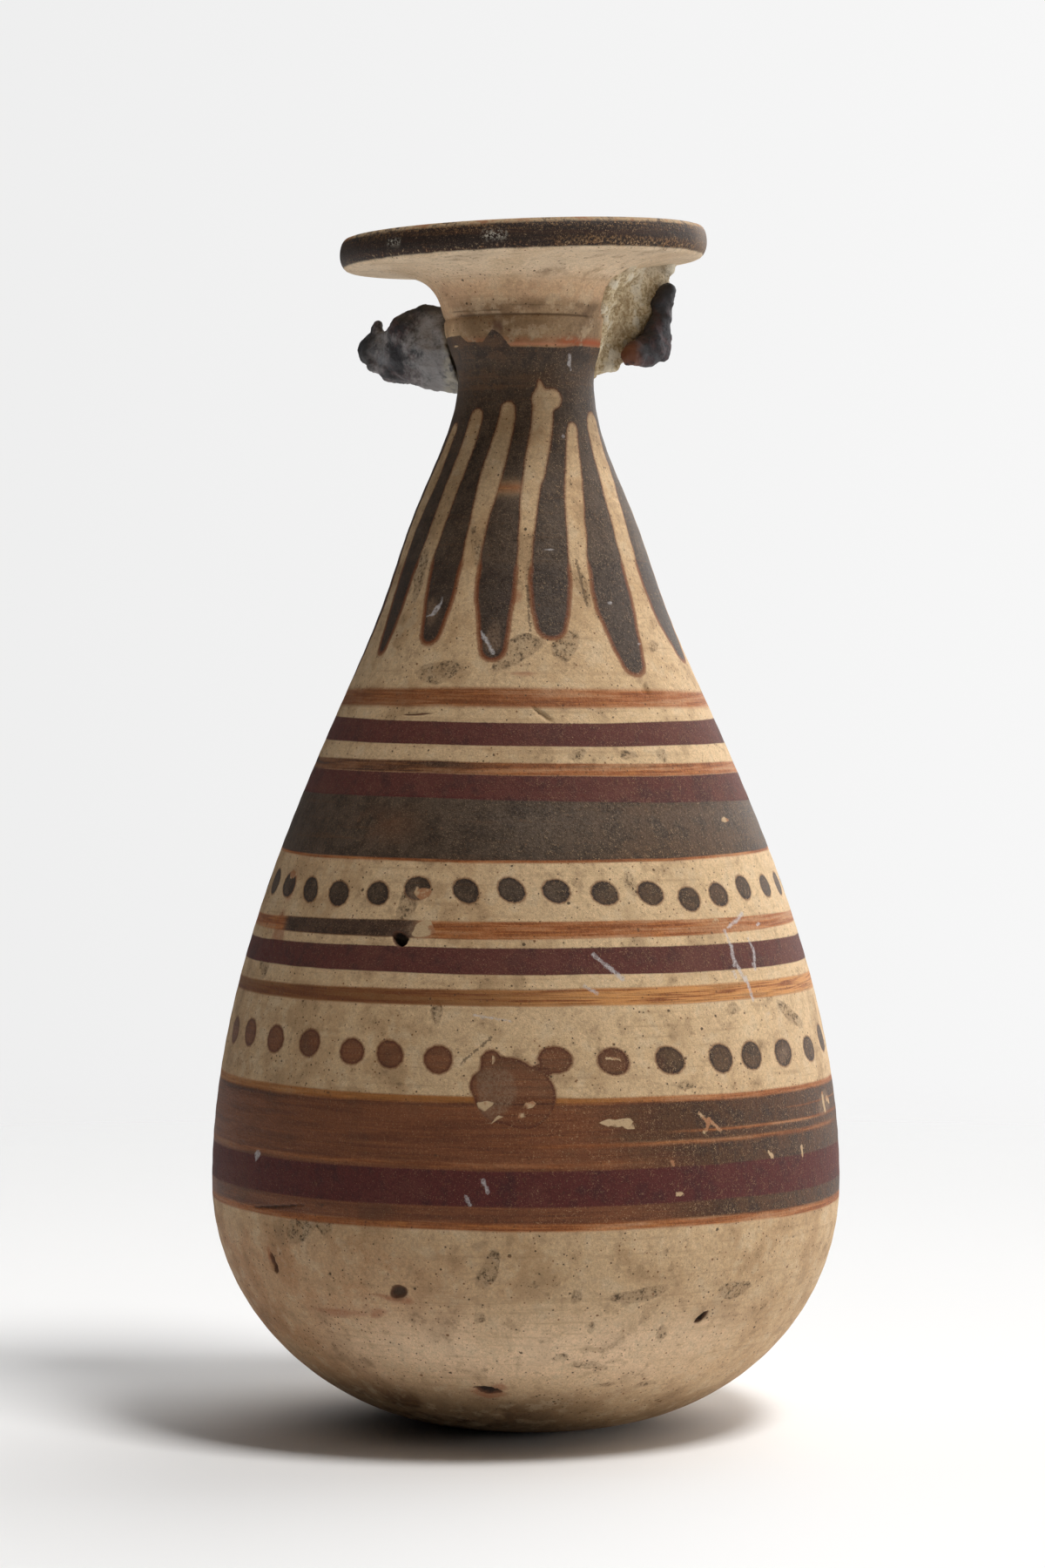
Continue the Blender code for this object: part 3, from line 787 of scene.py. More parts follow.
def dot_distance(points, surface, chance):
    """Signed distance to the two rows of dots and to the blot."""
    nearest = np.full(len(points), FAR)
    for row, wide_left, wide_right, tall in DOT_ROWS:
        places = list(row)
        angle = row[-1][0] + DOT_STEP
        while angle < 360 + row[0][0] - 0.6 * DOT_STEP:
            places.append((angle, row[0][1] + chance.uniform(-0.5, 0.5)))
            angle += DOT_STEP + chance.uniform(-0.9, 0.9)
        for angle, height in places:
            wide = (wide_right if MIDDLE < angle < RIGHT_EDGE else wide_left) * chance.uniform(0.95, 1.04)
            if NARROW_FROM < angle < RIGHT_EDGE:
                wide *= NARROWER
            high = tall * chance.uniform(0.94, 1.05)
            tilt = chance.uniform(-36, -10) if angle > MIDDLE else chance.uniform(-50, -5)
            body = ellipse_distance(points, surface, (angle, height, wide, high, tilt), DOT_LUMPS)
            nearest = np.minimum(nearest, body)
    for angle, height, radius in BLOT:
        middle = np.array(surface.at(angle, height)[0])
        nearest = np.minimum(nearest, np.linalg.norm(points - middle, axis=1) - radius)
    return nearest


def nearest_of(points, surface, entries, lumps):
    """Distance in mm of points from the edge of the nearest of many ellipses."""
    nearest = np.full(len(points), FAR)
    for entry in entries:
        nearest = np.minimum(nearest, ellipse_distance(points, surface, entry, lumps))
    return nearest


def write_field(mesh, name, values):
    """Puts a number on every point of a mesh, for the shader to read."""
    layer = mesh.attributes.new(name, "FLOAT", "POINT")
    layer.data.foreach_set("value", np.clip(values, -FAR, FAR).astype(np.float32))


# Painted bands: lower and upper edge, each (height, rise to the right, rise to the front), and softness
BANDS = (
    ((84.42, -0.15, 0.18), (86.15, -0.15, 0.62), 0.30),  # first orange
    ((80.40, -0.23, -0.15), (83.20, -0.15, -0.36), 0.08),  # first purple
    ((77.05, -0.35, -0.06), (78.28, -0.30, 0.12), 0.14),  # fringe
    ((74.00, -0.55, 0.18), (77.05, -0.35, -0.06), 0.08),  # second purple
    ((67.98, 0.00, -0.42), (74.20, -0.55, 0.18), 0.09),  # broad dark
    ((59.14, 0.10, -0.24), (60.37, 0.05, 0.48), 0.13),  # second orange
    ((55.00, -0.15, 0.00), (57.68, 0.00, 0.27), 0.09),  # third purple
    ((51.55, -0.05, 0.05), (53.10, 0.15, 0.30), 0.18),  # third orange
    ((26.85, -0.10, 0.10), (41.62, -0.35, 0.00), 0.16),  # low orange
    ((27.60, 0.00, 0.20), (40.85, -0.15, 0.00), 0.22),  # low zone
    ((29.50, 0.00, 0.15), (33.55, 0.00, 0.05), 0.13),  # last purple
    ((67.66, 0.00, -0.42), (68.10, 0.00, -0.42), 0.14),  # under broad
)


def band(height, side, front, low, high, soft):
    """1 between the two edges of a band, 0 outside."""
    bottom, top = (edge[0] + side * edge[1] + front * edge[2] for edge in (low, high))
    return (height - bottom).above(-soft, soft) * (top - height).above(-soft, soft)


def marks_mask(net, spot, surface, marks, roughened):
    """1 on fine straight marks of the skin, their edges broken up by a rough value about 0."""
    closest = None
    for first_angle, first_height, last_angle, last_height, half in marks:
        start = Vector(surface.at(first_angle, first_height)[0])
        run = Vector(surface.at(last_angle, last_height)[0]) - start
        away = net.add("ShaderNodeVectorMath", {"operation": "SUBTRACT"}, (spot, tuple(start)))
        share = tuple(run / run.dot(run))
        along = net.add("ShaderNodeVectorMath", {"operation": "DOT_PRODUCT"}, (away, share), out=1)
        nearest = net.times(tuple(run), net.add("ShaderNodeClamp", None, (along,)))
        distance = net.add("ShaderNodeVectorMath", {"operation": "DISTANCE"}, (away, nearest), out=1)
        distance = distance - MARK_CORE * half
        closest = distance if closest is None else closest.least(distance)
    return (closest + roughened).below(-0.06, 0.08)


def paint_clay(net, colours, surface):
    """Fired clay with its slip, brushed bands, dots and tongues, their wear, the soil in the pores, and
    painted light and shade.
    """
    spot = net.spot()
    x, y, z = net.split(spot)
    around = (x * x + y * y) ** 0.5
    side = x / around
    front = -(y / around)

    def facing(angle):
        """1 where the flask faces an angle, falling to -1 on the far side."""
        turn = math.radians(angle)
        return side * math.sin(turn) + front * math.cos(turn)

    def within(angle, half, soft):
        """1 within half of an angle on each side, 0 outside."""
        near, far = math.cos(math.radians(half - soft)), math.cos(math.radians(half + soft))
        return facing(angle).above(far, near)

    broad = net.noise(spot, 0.055, 2.0)
    cloud = net.noise(spot, 0.15, 4.0, 0.6)
    patchy = net.noise(spot, 0.42, 4.0, 0.62)
    brushed = net.noise(net.scaled(spot, 0.07, 0.07, 1.9), 1.0, 4.0, 0.6)
    combed = net.noise(net.scaled(spot, 0.16, 0.16, 5.0), 1.0, 2.0, 0.5)
    mid = net.noise(spot, 1.25, 3.0, 0.6)
    grain = net.noise(spot, 3.2, 4.0, 0.68)
    fine = net.noise(spot, 9.0, 2.0, 0.6)
    frayed = patchy.swing(0.26) + grain.swing(0.22)
    ragged = patchy.swing(1.9) + cloud.swing(1.2) + grain.swing(1.3)
    level = z + broad.swing(0.45) + brushed.swing(0.08) + grain.swing(0.12)
    streaky = brushed.above(0.44, 0.62)

    def toned(colour, coarse, small):
        """A colour with its grain in it."""
        return net.times(colour, 1 + (grain - 0.5) * coarse + (fine - 0.5) * small)

    # Clay: slip, wheel marks, soil film, and painted light and shade
    # Patina with painted shade: darker under the disc at the foot of the trumpet
    patina_and_shade = z.below(130.9, 132.6) * z.above(124.0, 126.0) * within(8, 62, 14) * (0.78 + patchy.swing(0.8))
    clay = net.coats(
        colours.clay,
        (170, 134, 94, (cloud + broad.swing(0.6)).above(0.42, 0.64) * 0.60),
        (196, 158, 126, z.above(127, 131) * 0.6),
        (228, 206, 176, z.above(133.0, 135.6) * 0.85),
        # painted light: the belly lighter on the side that faces the key light
        (224, 194, 152, z.bell(68.0, 26.0) * within(50, 44, 20) * 0.55),
        # painted shade: the lower belly darker and browner on the side turned from the light
        (172, 122, 82, z.below(22.0, 29.0) * facing(-60).above(0.40, 1.0) * 0.62),
        # painted highlight: light thrown up by the floor onto the lower front of the belly
        (236, 205, 170, z.bell(12.5, 5.0) * within(0, 40, 18) * 0.80),
        # painted shadow: darker near the base where it meets the floor, most on the shaded left
        (78, 54, 33, z.below(4.5, 9.5) * (0.30 + 0.66 * facing(-60).above(0.1, 0.8))),
        # painted shade and patina under the disc
        (98, 73, 46, patina_and_shade * 0.85),
        (88, 66, 44, patina_and_shade * within(54, 26, 12) * z.below(131.0, 132.2) * 0.55),
        (188, 158, 122, cloud.below(0.40, 0.54) * 0.40),
        (204, 182, 150, patchy.below(0.36, 0.48) * 0.35),
        (150, 122, 90, patchy.above(0.54, 0.68) * 0.42),
        (152, 122, 88, (brushed + grain.swing(0.3)).above(0.54, 0.70) * 0.32),
    )
    clay = net.times(clay, 1 + grain.swing(1.00) + fine.swing(0.70) + mid.swing(0.70))
    smudge = (net.field("smudge") + ragged * 0.60).below(-0.34, 0.00)
    gritty = (mid * 0.5 + grain * 0.5).above(0.46, 0.54)
    soil = (cloud + mid.swing(0.5)).above(0.54, 0.66) * patchy.above(0.42, 0.60) * 0.42
    soil = soil.most(smudge) * (0.28 + 0.72 * gritty)
    stain = (net.field("stain") + ragged * 0.6).below(-0.35, 0.30)
    clay = net.coats(
        clay,
        (112, 90, 66, soil * 0.64),
        (58, 46, 36, soil.most(smudge * 0.9) * (grain * 0.6 + mid * 0.4).above(0.54, 0.61) * 0.85),
        (146, 78, 48, stain * (0.60 + grain.swing(1.6)) * 0.85),
    )

    # The paints, and which way the dark one fired: red-brown at the lower left, brown-black elsewhere
    turned = facing(-66) + patchy.swing(0.40) + z.below(33.0, 37.0) * 0.14 + brushed.swing(0.30)
    reddened = turned.above(-0.10, 0.30) * (z + patchy.swing(2.0)).below(49.0, 52.0)
    local_red = within(-38, 8, 7) * z.bell(71.3, 1.7) * cloud.above(0.40, 0.60) * 0.42
    reddened = reddened.most(local_red).most(within(165, 14, 10) * z.bell(71.0, 2.2) * 0.5)
    dark = net.coats(
        colours.dark,
        (78, 54, 35, z.below(50.0, 66.0) * 0.55),
        (70, 42, 20, z.below(78.0, 82.0) * within(62, 44, 20) * 0.65),
        (46, 35, 28, patchy.above(0.44, 0.60) * 0.7),
        (90, 62, 42, brushed.above(0.54, 0.70) * 0.38),
    )
    red = net.coats(
        colours.red_brown,
        (86, 50, 33, streaky * 0.55),
        (70, 44, 30, (cloud + grain.swing(0.3)).above(0.52, 0.68) * 0.45),
        (140, 84, 48, combed.above(0.55, 0.68) * 0.35),
    )
    dark = net.coats(toned(dark, 2.3, 2.1), (toned(red, 1.0, 0.9), reddened))
    wash = net.coats(
        colours.orange,
        (112, 64, 36, (brushed * 0.7 + patchy * 0.3).above(0.46, 0.60) * 0.65),
        (190, 122, 66, (combed * 0.6 + patchy * 0.4).above(0.50, 0.64) * 0.55),
    )
    wash = toned(wash, 1.2, 1.0)
    purple = net.coats(
        colours.purple,
        (58, 32, 34, patchy.above(0.46, 0.66) * 0.6),
        (94, 48, 42, cloud.above(0.48, 0.62) * 0.45),
    )
    purple = toned(purple, 1.0, 1.1)

    # Where each paint lies
    (
        first_orange, first_purple, fringe, second_purple, broad_dark, second_orange,
        third_purple, third_orange, low_orange, low_zone, last_purple, under_broad,
    ) = (band(level, side, front, *edges) for edges in BANDS)
    matte = first_purple.most(second_purple).most(third_purple).most(last_purple)
    washed = first_orange.most(third_orange).most(second_orange).most(low_orange).most(under_broad)
    washed = washed.most(fringe)
    density = (0.66 + 0.34 * brushed.above(0.34, 0.56)) * (0.80 + patchy * 0.40)
    yellow = low_orange * within(-60, 82, 10) * z.above(40.8, 41.2) * 0.8
    yellow = yellow.most(third_orange * brushed.below(0.44, 0.58))
    shaded_wash = (first_orange * 0.40).most(third_orange * 0.62) * within(-66, 64, 26)
    neck_wash = z.bell(126.9, 0.50) * within(-2, 92, 10) * (0.35 + 0.65 * within(62, 34, 8))
    neck_wash = neck_wash * patchy.above(0.34, 0.50)
    neck_drip = within(-20.5, 3.4, 1.6) * z.bell(128.6, 0.9)
    thin_line = z.bell(126.5, 0.22) * within(6, 26, 6) * patchy.above(0.36, 0.48)
    thick = within(-104, 92, 12).most(within(150, 30, 9)) * (0.55 + 0.45 * streaky)
    dark_fringe = fringe * thick.most(level.bell(77.9, 0.22) * 0.45 * patchy.above(0.40, 0.55))
    dark_second = second_orange * within(-42, 19, 1.5).most(within(176, 38, 5))

    ink = net.field("tongue") + frayed
    dots = net.field("dot") + frayed * 0.7
    tongue = ink.below(-0.07, 0.07)
    dot = dots.below(-0.07, 0.07)
    neck_top = z.above(119.0, 122.0)
    browned = tongue * neck_top * (patchy * 0.6 + brushed * 0.4).above(0.46, 0.58)
    loaded = (z + (x - 2.0).bell(0.0, 9.0) * 0.8).below(101.0, 102.2)
    tongue_rim = ink.maths("ABSOLUTE", ink - 0.02) / (0.20 + loaded * 0.14)
    tongue_rim = tongue_rim.below(0.35, 1.35) * z.below(123.5, 125.0) * (0.55 + loaded * 0.45)
    thin_spot = within(-10, 7.5, 3) * z.bell(109.8, 0.80)
    streak_one = level.bell(37.5, 0.16) * within(56, 27, 6)
    streak_two = level.bell(36.3, 0.24) * within(38, 38, 9)
    opened = streak_one.most(streak_two * 0.85).most(level.bell(39.1, 0.10) * within(70, 14, 5) * 0.7)
    opened = opened.most(level.bell(34.2, 0.28) * within(-50, 62, 14) * 0.55)
    inked = tongue.most(dot).most(broad_dark).most(low_zone).most(dark_fringe).most(dark_second)
    inked = inked * (1 - thin_spot * 0.85) * (1 - opened * 0.85)
    grime = level.bell(40.75, 0.30) * within(-60, 85, 12) * 0.65
    dot_edge = net.coats(srgb(42, 31, 27), (76, 40, 27, reddened))
    # Painted shade in the grooves and creases at the foot of the trumpet
    groove = z.bell(129.95 + broad.swing(0.3), 0.13) * within(-2, 55, 6)
    groove = groove.most(z.bell(130.45, 0.10) * within(-40, 22, 4))
    groove = groove.most(z.bell(131.0, 0.08) * within(20, 30, 8) * 0.5)

    # The disc's dark rim follows its tilt
    disc = z - x * TILT_SLOPE + patchy.swing(0.30)
    rim = disc.above(136.55, 136.80) * around.above(18.6, 19.0)
    rim = rim.most(disc.above(139.3, 139.8) * around.below(8.2, 8.6))
    gold = disc.above(138.1, 139.6) * (grain * 0.55 + fine * 0.45 + combed.swing(0.3)).above(0.51, 0.58)
    drips = net.noise(net.vector(x * 1.6, y * 1.6, z * 0.5), 1.0, 3.0, 0.6)
    low_gold = (137.9 + drips.swing(1.6) - disc).above(-0.1, 0.3) * grain.above(0.46, 0.58)
    low_gold = low_gold * within(48, 36, 10)
    chalk = within(-9.5, 3.2, 1.5) * disc.bell(138.2, 0.5) + within(-44, 2.2, 1.2) * disc.bell(138.3, 0.4)

    # Wear and soil over the paint, painted sheen and glints, and painted shade in the pits
    painted = inked.most(matte).most(rim).most(washed * 0.5)
    rubbed = (net.field("thin") + ragged * 0.5).below(-0.45, 0.35)
    roughened = grain.swing(0.9) + mid.swing(0.5)
    bare = (net.field("bare") + frayed * 0.9).below(-0.06, 0.06)
    worn = bare.most(marks_mask(net, spot, surface, BARE_MARKS, roughened * 0.8))
    edge_wear = disc.above(139.35, 139.75) * around.above(18.0, 20.6)
    edge_wear = edge_wear * (patchy * 0.7 + grain * 0.3).above(0.38, 0.52)
    rim_flecks = grain.above(0.56, 0.64) * rim * disc.bell(137.0, 0.35)
    fret = fine.above(0.655, 0.70) * painted
    flaking = patchy.above(0.72, 0.76) * painted * grain.above(0.45, 0.55)
    exposed = worn.most(edge_wear * 0.8).most(rim_flecks * 0.8).most(fret * 0.5).most(flaking * 0.7)
    bare_tone = net.coats(srgb(188, 160, 124), (160, 112, 78, patchy.above(0.50, 0.62)))

    crowd = cloud * 0.6 + broad * 0.4
    cells = net.cells(spot, 1.9)
    size_chance, keep_chance, tint_chance = net.split(cells.part(1))
    small_pore = (cells - 0.09 - size_chance * 0.15 + fine.swing(0.25)).below(-0.04, 0.04)
    small_pore = small_pore * (keep_chance + crowd.swing(2.6)).above(0.50, 0.54)
    cells = net.cells(net.scaled(spot, 1.0, 1.0, 1.12), 0.60)
    size_chance, keep_chance, _ = net.split(cells.part(1))
    big_pore = (cells - 0.055 - size_chance * 0.085 + grain.swing(0.16)).below(-0.02, 0.02)
    big_pore = big_pore * (keep_chance + crowd.swing(1.2)).above(0.68, 0.70)
    pore = small_pore.most(big_pore) * (1 - painted * 0.55)
    pore_tone = net.coats(srgb(62, 47, 34), (116, 78, 48, tint_chance.above(0.55, 0.75)))
    prick = (fine * 0.65 + mid * 0.35).above(0.575, 0.61) * (1 - painted * 0.7)
    # Pale specks on the paint, with more on the lit right side as painted glints
    specks_and_glints = (fine * 0.6 + grain * 0.4).above(0.56, 0.61) * painted
    specks_and_glints = specks_and_glints * (patchy * 0.5 + mid * 0.5).above(0.44, 0.56)
    # Painted sheen: the key light's reflection on the dark paint of the bands and tongues
    bloom_and_sheen = within(28, 34, 22) * (z.bell(97, 9) + z.bell(72.2, 2.4))
    film = (cloud + grain.swing(0.5)).above(0.52, 0.70) * (1 - rim)
    scored = marks_mask(net, spot, surface, DARK_MARKS, roughened)
    fleck = (net.field("fleck") + frayed * 0.8).below(-0.03, 0.14) * grain.above(0.30, 0.46)
    fleck = fleck.most(marks_mask(net, spot, surface, PALE_MARKS, roughened))
    # Painted shade and dirt in the pits: brown at their edges, black where they are deep
    sunk = net.field("sunk")
    hole_tone = net.coats(srgb(92, 60, 42), (22, 18, 15, (sunk + grain.swing(0.3)).above(0.35, 0.75)))

    paint = net.coats(
        clay,
        (wash, washed * density.least(1.0)),
        (160, 112, 56, yellow * 0.50),
        (206, 146, 86, third_orange * combed.above(0.42, 0.56) * within(64, 72, 24) * 0.75),
        (92, 56, 34, shaded_wash),
        (168, 82, 46, neck_wash * 0.90),
        (196, 132, 96, thin_line * 0.70),
        (82, 50, 36, neck_drip * 0.85),
        (wash, thin_spot * tongue * 0.8),
        (dark, inked * (0.90 + 0.10 * patchy)),
        (40, 30, 27, tongue * loaded * 0.45),
        (104, 78, 58, browned * (0.30 + 0.30 * facing(-50).above(0.2, 0.9))),
        (34, 26, 24, tongue * neck_top * patchy.below(0.36, 0.46) * 0.5),
        (118, 64, 34, tongue_rim * 0.80),
        (purple, matte * 0.97),
        (54, 38, 29, grime * streaky.most(0.45)),
        (dot_edge, dots.bell(-0.14, 0.17) * 0.60),
        (120, 72, 42, dots.bell(0.07, 0.10) * 0.55),
        # painted shade in the grooves
        (74, 54, 38, groove * brushed.above(0.36, 0.50) * 0.75),
        (net.coats(dark, (38, 30, 27, 0.55)), rim),
        (72, 46, 34, rim * streaky * 0.35),
        (146, 108, 70, rim * (gold * 0.72).most(low_gold * 0.60)),
        (128, 106, 88, rim * within(90, 20, 9) * (0.20 + patchy * 0.6)),
        (196, 188, 172, rim * chalk * grain.above(0.48, 0.56) * 0.85),
        (132, 106, 84, rubbed * (0.35 + (grain - 0.42) * 2.4).least(0.9).most(0.0) * 0.8),
        (bare_tone, exposed),
        (pore_tone, pore * 0.86),
        (100, 76, 54, prick * 0.50),
        # pale specks, and painted glints on the lit side
        (182, 150, 112, specks_and_glints * (0.16 + 0.50 * within(58, 50, 22)) * (1 - matte * 0.40)),
        # painted sheen of the key light on the dark paint
        (102, 92, 84, bloom_and_sheen * inked * grain.above(0.36, 0.62) * 0.28),
        (104, 86, 66, film * (0.14 - painted * 0.06)),
        (70, 54, 40, scored * 0.62),
        (190, 184, 182, fleck * (0.30 + grain.above(0.42, 0.56) * 0.45)),
        # painted shade and dirt in the pits
        (hole_tone, sunk.above(0.08, 0.34) * 0.94),
    )
    sheen = 0.66 - painted * 0.12 + matte * 0.14 + soil * 0.10 + grain.swing(0.25) + exposed * 0.12
    relief = grain.swing(0.066) + fine.swing(0.034) + patchy.swing(0.090) + mid.swing(0.074)
    close_shader(net, paint, sheen, relief, 0.20)


def make_flask(sizes, colours):
    """The turned, carved and painted flask."""
    material, net = shader_net("Painted clay")
    tree, values = flask_rule(sizes)
    values["Material"] = material
    item = new_piece("painted_flask")
    follow_rule(item, tree, values)
    shape = bmesh.new()
    shape.from_mesh(item.data)
    bmesh.ops.dissolve_degenerate(shape, dist=SLIVER, edges=shape.edges)
    bmesh.ops.recalc_face_normals(shape, faces=shape.faces)
    surface = Surface(shape)
    carve(shape, surface)
    for face in shape.faces:
        face.smooth = True
    shape.to_mesh(item.data)
    shape.free()
    mesh = item.data
    points = np.empty(len(mesh.vertices) * 3)
    mesh.vertices.foreach_get("co", points)
    points = points.reshape(-1, 3) / MM
    chance = random.Random(PAINT_SEED)
    for name, distance, (low, high) in (
        ("tongue", tongue_distance, TONGUE_ZONE),
        ("dot", dot_distance, DOT_ZONE),
    ):
        near = (points[:, 2] > low) & (points[:, 2] < high)
        field = np.full(len(points), FAR)
        field[near] = distance(points[near], surface, chance)
        write_field(mesh, name, field)
    for name, entries, lumps in (
        ("bare", BARE, 0.30), ("smudge", SMUDGES, PATCH_LUMPS), ("stain", STAINS, PATCH_LUMPS),
        ("fleck", FLECKS, PATCH_LUMPS), ("thin", THIN, PATCH_LUMPS),
    ):
        write_field(mesh, name, nearest_of(points, surface, entries, lumps))
    sunk = np.zeros(len(points))
    for angle, height, half_width, half_height, _, tilt, shade_and_dirt in CARVED:
        edge = ellipse_distance(points, surface, (angle, height, half_width, half_height, tilt), PIT_LUMPS)
        inside = 0.15 - edge / (0.6 * min(half_width, half_height))
        sunk = np.maximum(sunk, np.clip(inside, 0, 1) * shade_and_dirt)
    write_field(mesh, "sunk", sunk)
    paint_clay(net, colours, surface)
    return item


def growth_rule():
    """The rule of crust and rust: knobs and grain that push a fine skin out and in along its normals."""
    inputs = [
        ("Knob size", "NodeSocketFloat", 0.0014), ("Knob height", "NodeSocketFloat", 0.0003),
        ("Grain size", "NodeSocketFloat", 0.0004), ("Grain height", "NodeSocketFloat", 0.0001),
        ("Seed", "NodeSocketInt", 7), ("Material", "NodeSocketMaterial", None),
    ]
    net, given = new_rule("Rough growth", inputs)
    place = net.add("GeometryNodeInputPosition")
    apart = net.vector(given["Seed"] * 1.0, 0.0, 0.0)
    moved = net.add("ShaderNodeVectorMath", {"operation": "ADD"}, (place, apart))
    knobs = net.cells(moved, 1 / given["Knob size"])
    lumps = net.noise(moved, 0.5 / given["Knob size"], 3.0)
    grains = net.noise(moved, 1 / given["Grain size"], 3.0, 0.6)
    out = given["Knob height"] * ((0.5 - knobs) * 1.3 + lumps.swing(1.6))
    out = out + given["Grain height"] * grains.swing(2.0)
    normal = net.add("GeometryNodeInputNormal")
    pushed = net.add(
        "GeometryNodeSetPosition", None, {"Geometry": given["Geometry"], "Offset": net.times(normal, out)}
    )
    smooth = net.add("GeometryNodeSetShadeSmooth", None, (pushed,))
    return end_rule(net, smooth, given["Material"])


def add_lump(shape, middle, radius):
    """A small round body, for the remesh to melt together with its neighbours."""
    made = bmesh.ops.create_icosphere(shape, subdivisions=2, radius=radius)
    for corner in made["verts"]:
        corner.co += middle


def melted_piece(name, shape, lumps, growth, tree, values):
    """Adds lumps to a shape's bodies, melts all into one skin and roughens it."""
    for x, y, z, radius in lumps:
        add_lump(shape, Vector((x, y, z)) * MM, radius * MM)
    item = new_piece(name)
    shape.to_mesh(item.data)
    shape.free()
    melt = item.modifiers.new("Melted together", "REMESH")
    melt.mode = "VOXEL"
    melt.voxel_size = growth.voxel
    melt.adaptivity = 0
    follow_rule(item, tree, values)
    skin = bmesh.new()
    skin.from_mesh(item.data)
    keep_largest(skin)
    skin.to_mesh(item.data)
    skin.free()
    return item


def keep_largest(shape):
    """Removes stray bits that the remesh leaves apart from the main body."""
    seen, islands = set(), []
    for corner in shape.verts:
        if corner in seen:
            continue
        island, queue = [], [corner]
        seen.add(corner)
        while queue:
            point = queue.pop()
            island.append(point)
            for edge in point.link_edges:
                other = edge.other_vert(point)
                if other not in seen:
                    seen.add(other)
                    queue.append(other)
        islands.append(island)
    islands.sort(key=len)
    for island in islands[:-1]:
        bmesh.ops.delete(shape, geom=island, context="VERTS")


def lug_outline(sizes):
    """The lug's outline as (radius, height) points, from its root under the disc round its outer edge."""
    neck_height = sizes.height - sizes.neck_below_mouth
    underside = sizes.height - sizes.lip_thickness
    foot = Vector((sizes.neck_radius + LUG_FOOT_STEP, neck_height + LUG_FOOT_RISE))
    top = Vector((sizes.lip_radius - LUG_INSET, underside))
    run = top - foot
    leave, arrive = (foot + Vector((x * run.x, y * run.y)) for x, y in LUG_HANDLES)
    root = sizes.neck_radius - LUG_ROOT_DEPTH
    outline = [(root, foot.y)]
    for step in range(LUG_STEPS + 1):
        t = step / LUG_STEPS
        weights = ((1 - t) ** 3, 3 * (1 - t) ** 2 * t, 3 * (1 - t) * t * t, t ** 3)
        point = sum((w * p for w, p in zip(weights, (foot, leave, arrive, top))), Vector((0, 0)))
        outline.append(tuple(point))
    into_disc = underside + 0.2 * sizes.lip_thickness
    return outline + [(top.x, into_disc), (root, into_disc)]


def crust_material():
    """Pale sandy burial crust, greyer and whiter where it is smeared thin on the disc."""
    material, net = shader_net("Burial crust")
    spot = net.spot()
    _, _, z = net.split(spot)
    grain = net.noise(spot, 2.6, 4.0, 0.65)
    fine = net.noise(spot, 7.0, 3.0, 0.6)
    patchy = net.noise(spot, 0.55, 3.0)
    pits = net.cells(spot, 1.5)
    tone = net.coats(
        srgb(212, 194, 160),
        (166, 142, 106, grain.above(0.44, 0.60)),
        (232, 222, 200, patchy.above(0.52, 0.62) * 0.70),
        (156, 132, 98, patchy.below(0.36, 0.46) * 0.55),
        (206, 196, 178, (z + patchy * 5).above(136.0, 139.0) * 0.50),
        (98, 78, 56, fine.above(0.60, 0.68) * 0.60),
        (88, 70, 52, pits.below(0.10, 0.24) * 0.45),
    )
    height = grain.swing(0.16) + fine.swing(0.07)
    close_shader(net, tone, 0.86 + grain.swing(0.1), height, 0.25)
    return material


# The web's size inside its crust and its share of the mouth's tilt
WEB_SHARE = 0.985
WEB_TILT = 0.8
# Height and radius of the trumpet's flare under the crust
TRUMPET = ((0.1320, 0.0099), (0.1336, 0.0108), (0.1346, 0.0117), (0.1354, 0.0132), (0.1359, 0.0166))
# Lumps that creep over neck and disc: their number, their radii, and how far inside the disc they stay
CREEPING_LUMPS = 230
CREEPING_SIZES = (0.0008, 0.0014)
CRUST_INSET = 0.0032
# Crust that reaches out to the iron: x, y, z and radius in mm
CRUST_LUMPS = (
    (15.4, 7.6, 133.8, 1.3), (14.8, 7, 132.6, 1.3), (14.6, 6.8, 131.4, 1.3), (14.2, 6.4, 130.3, 1.3),
    (13.4, 5.9, 129.3, 1.3), (12.6, 5.2, 128.5, 1.3), (11.8, 4.6, 127.8, 1.3), (11.2, 4.4, 126.6, 1.2),
    (13.2, 6.2, 131, 1.3), (12.4, 5.6, 129.8, 1.3), (11.4, 4.9, 129, 1.3), (10.6, 4.4, 126, 1.1),
    (16, 8, 134.6, 1.2),
)


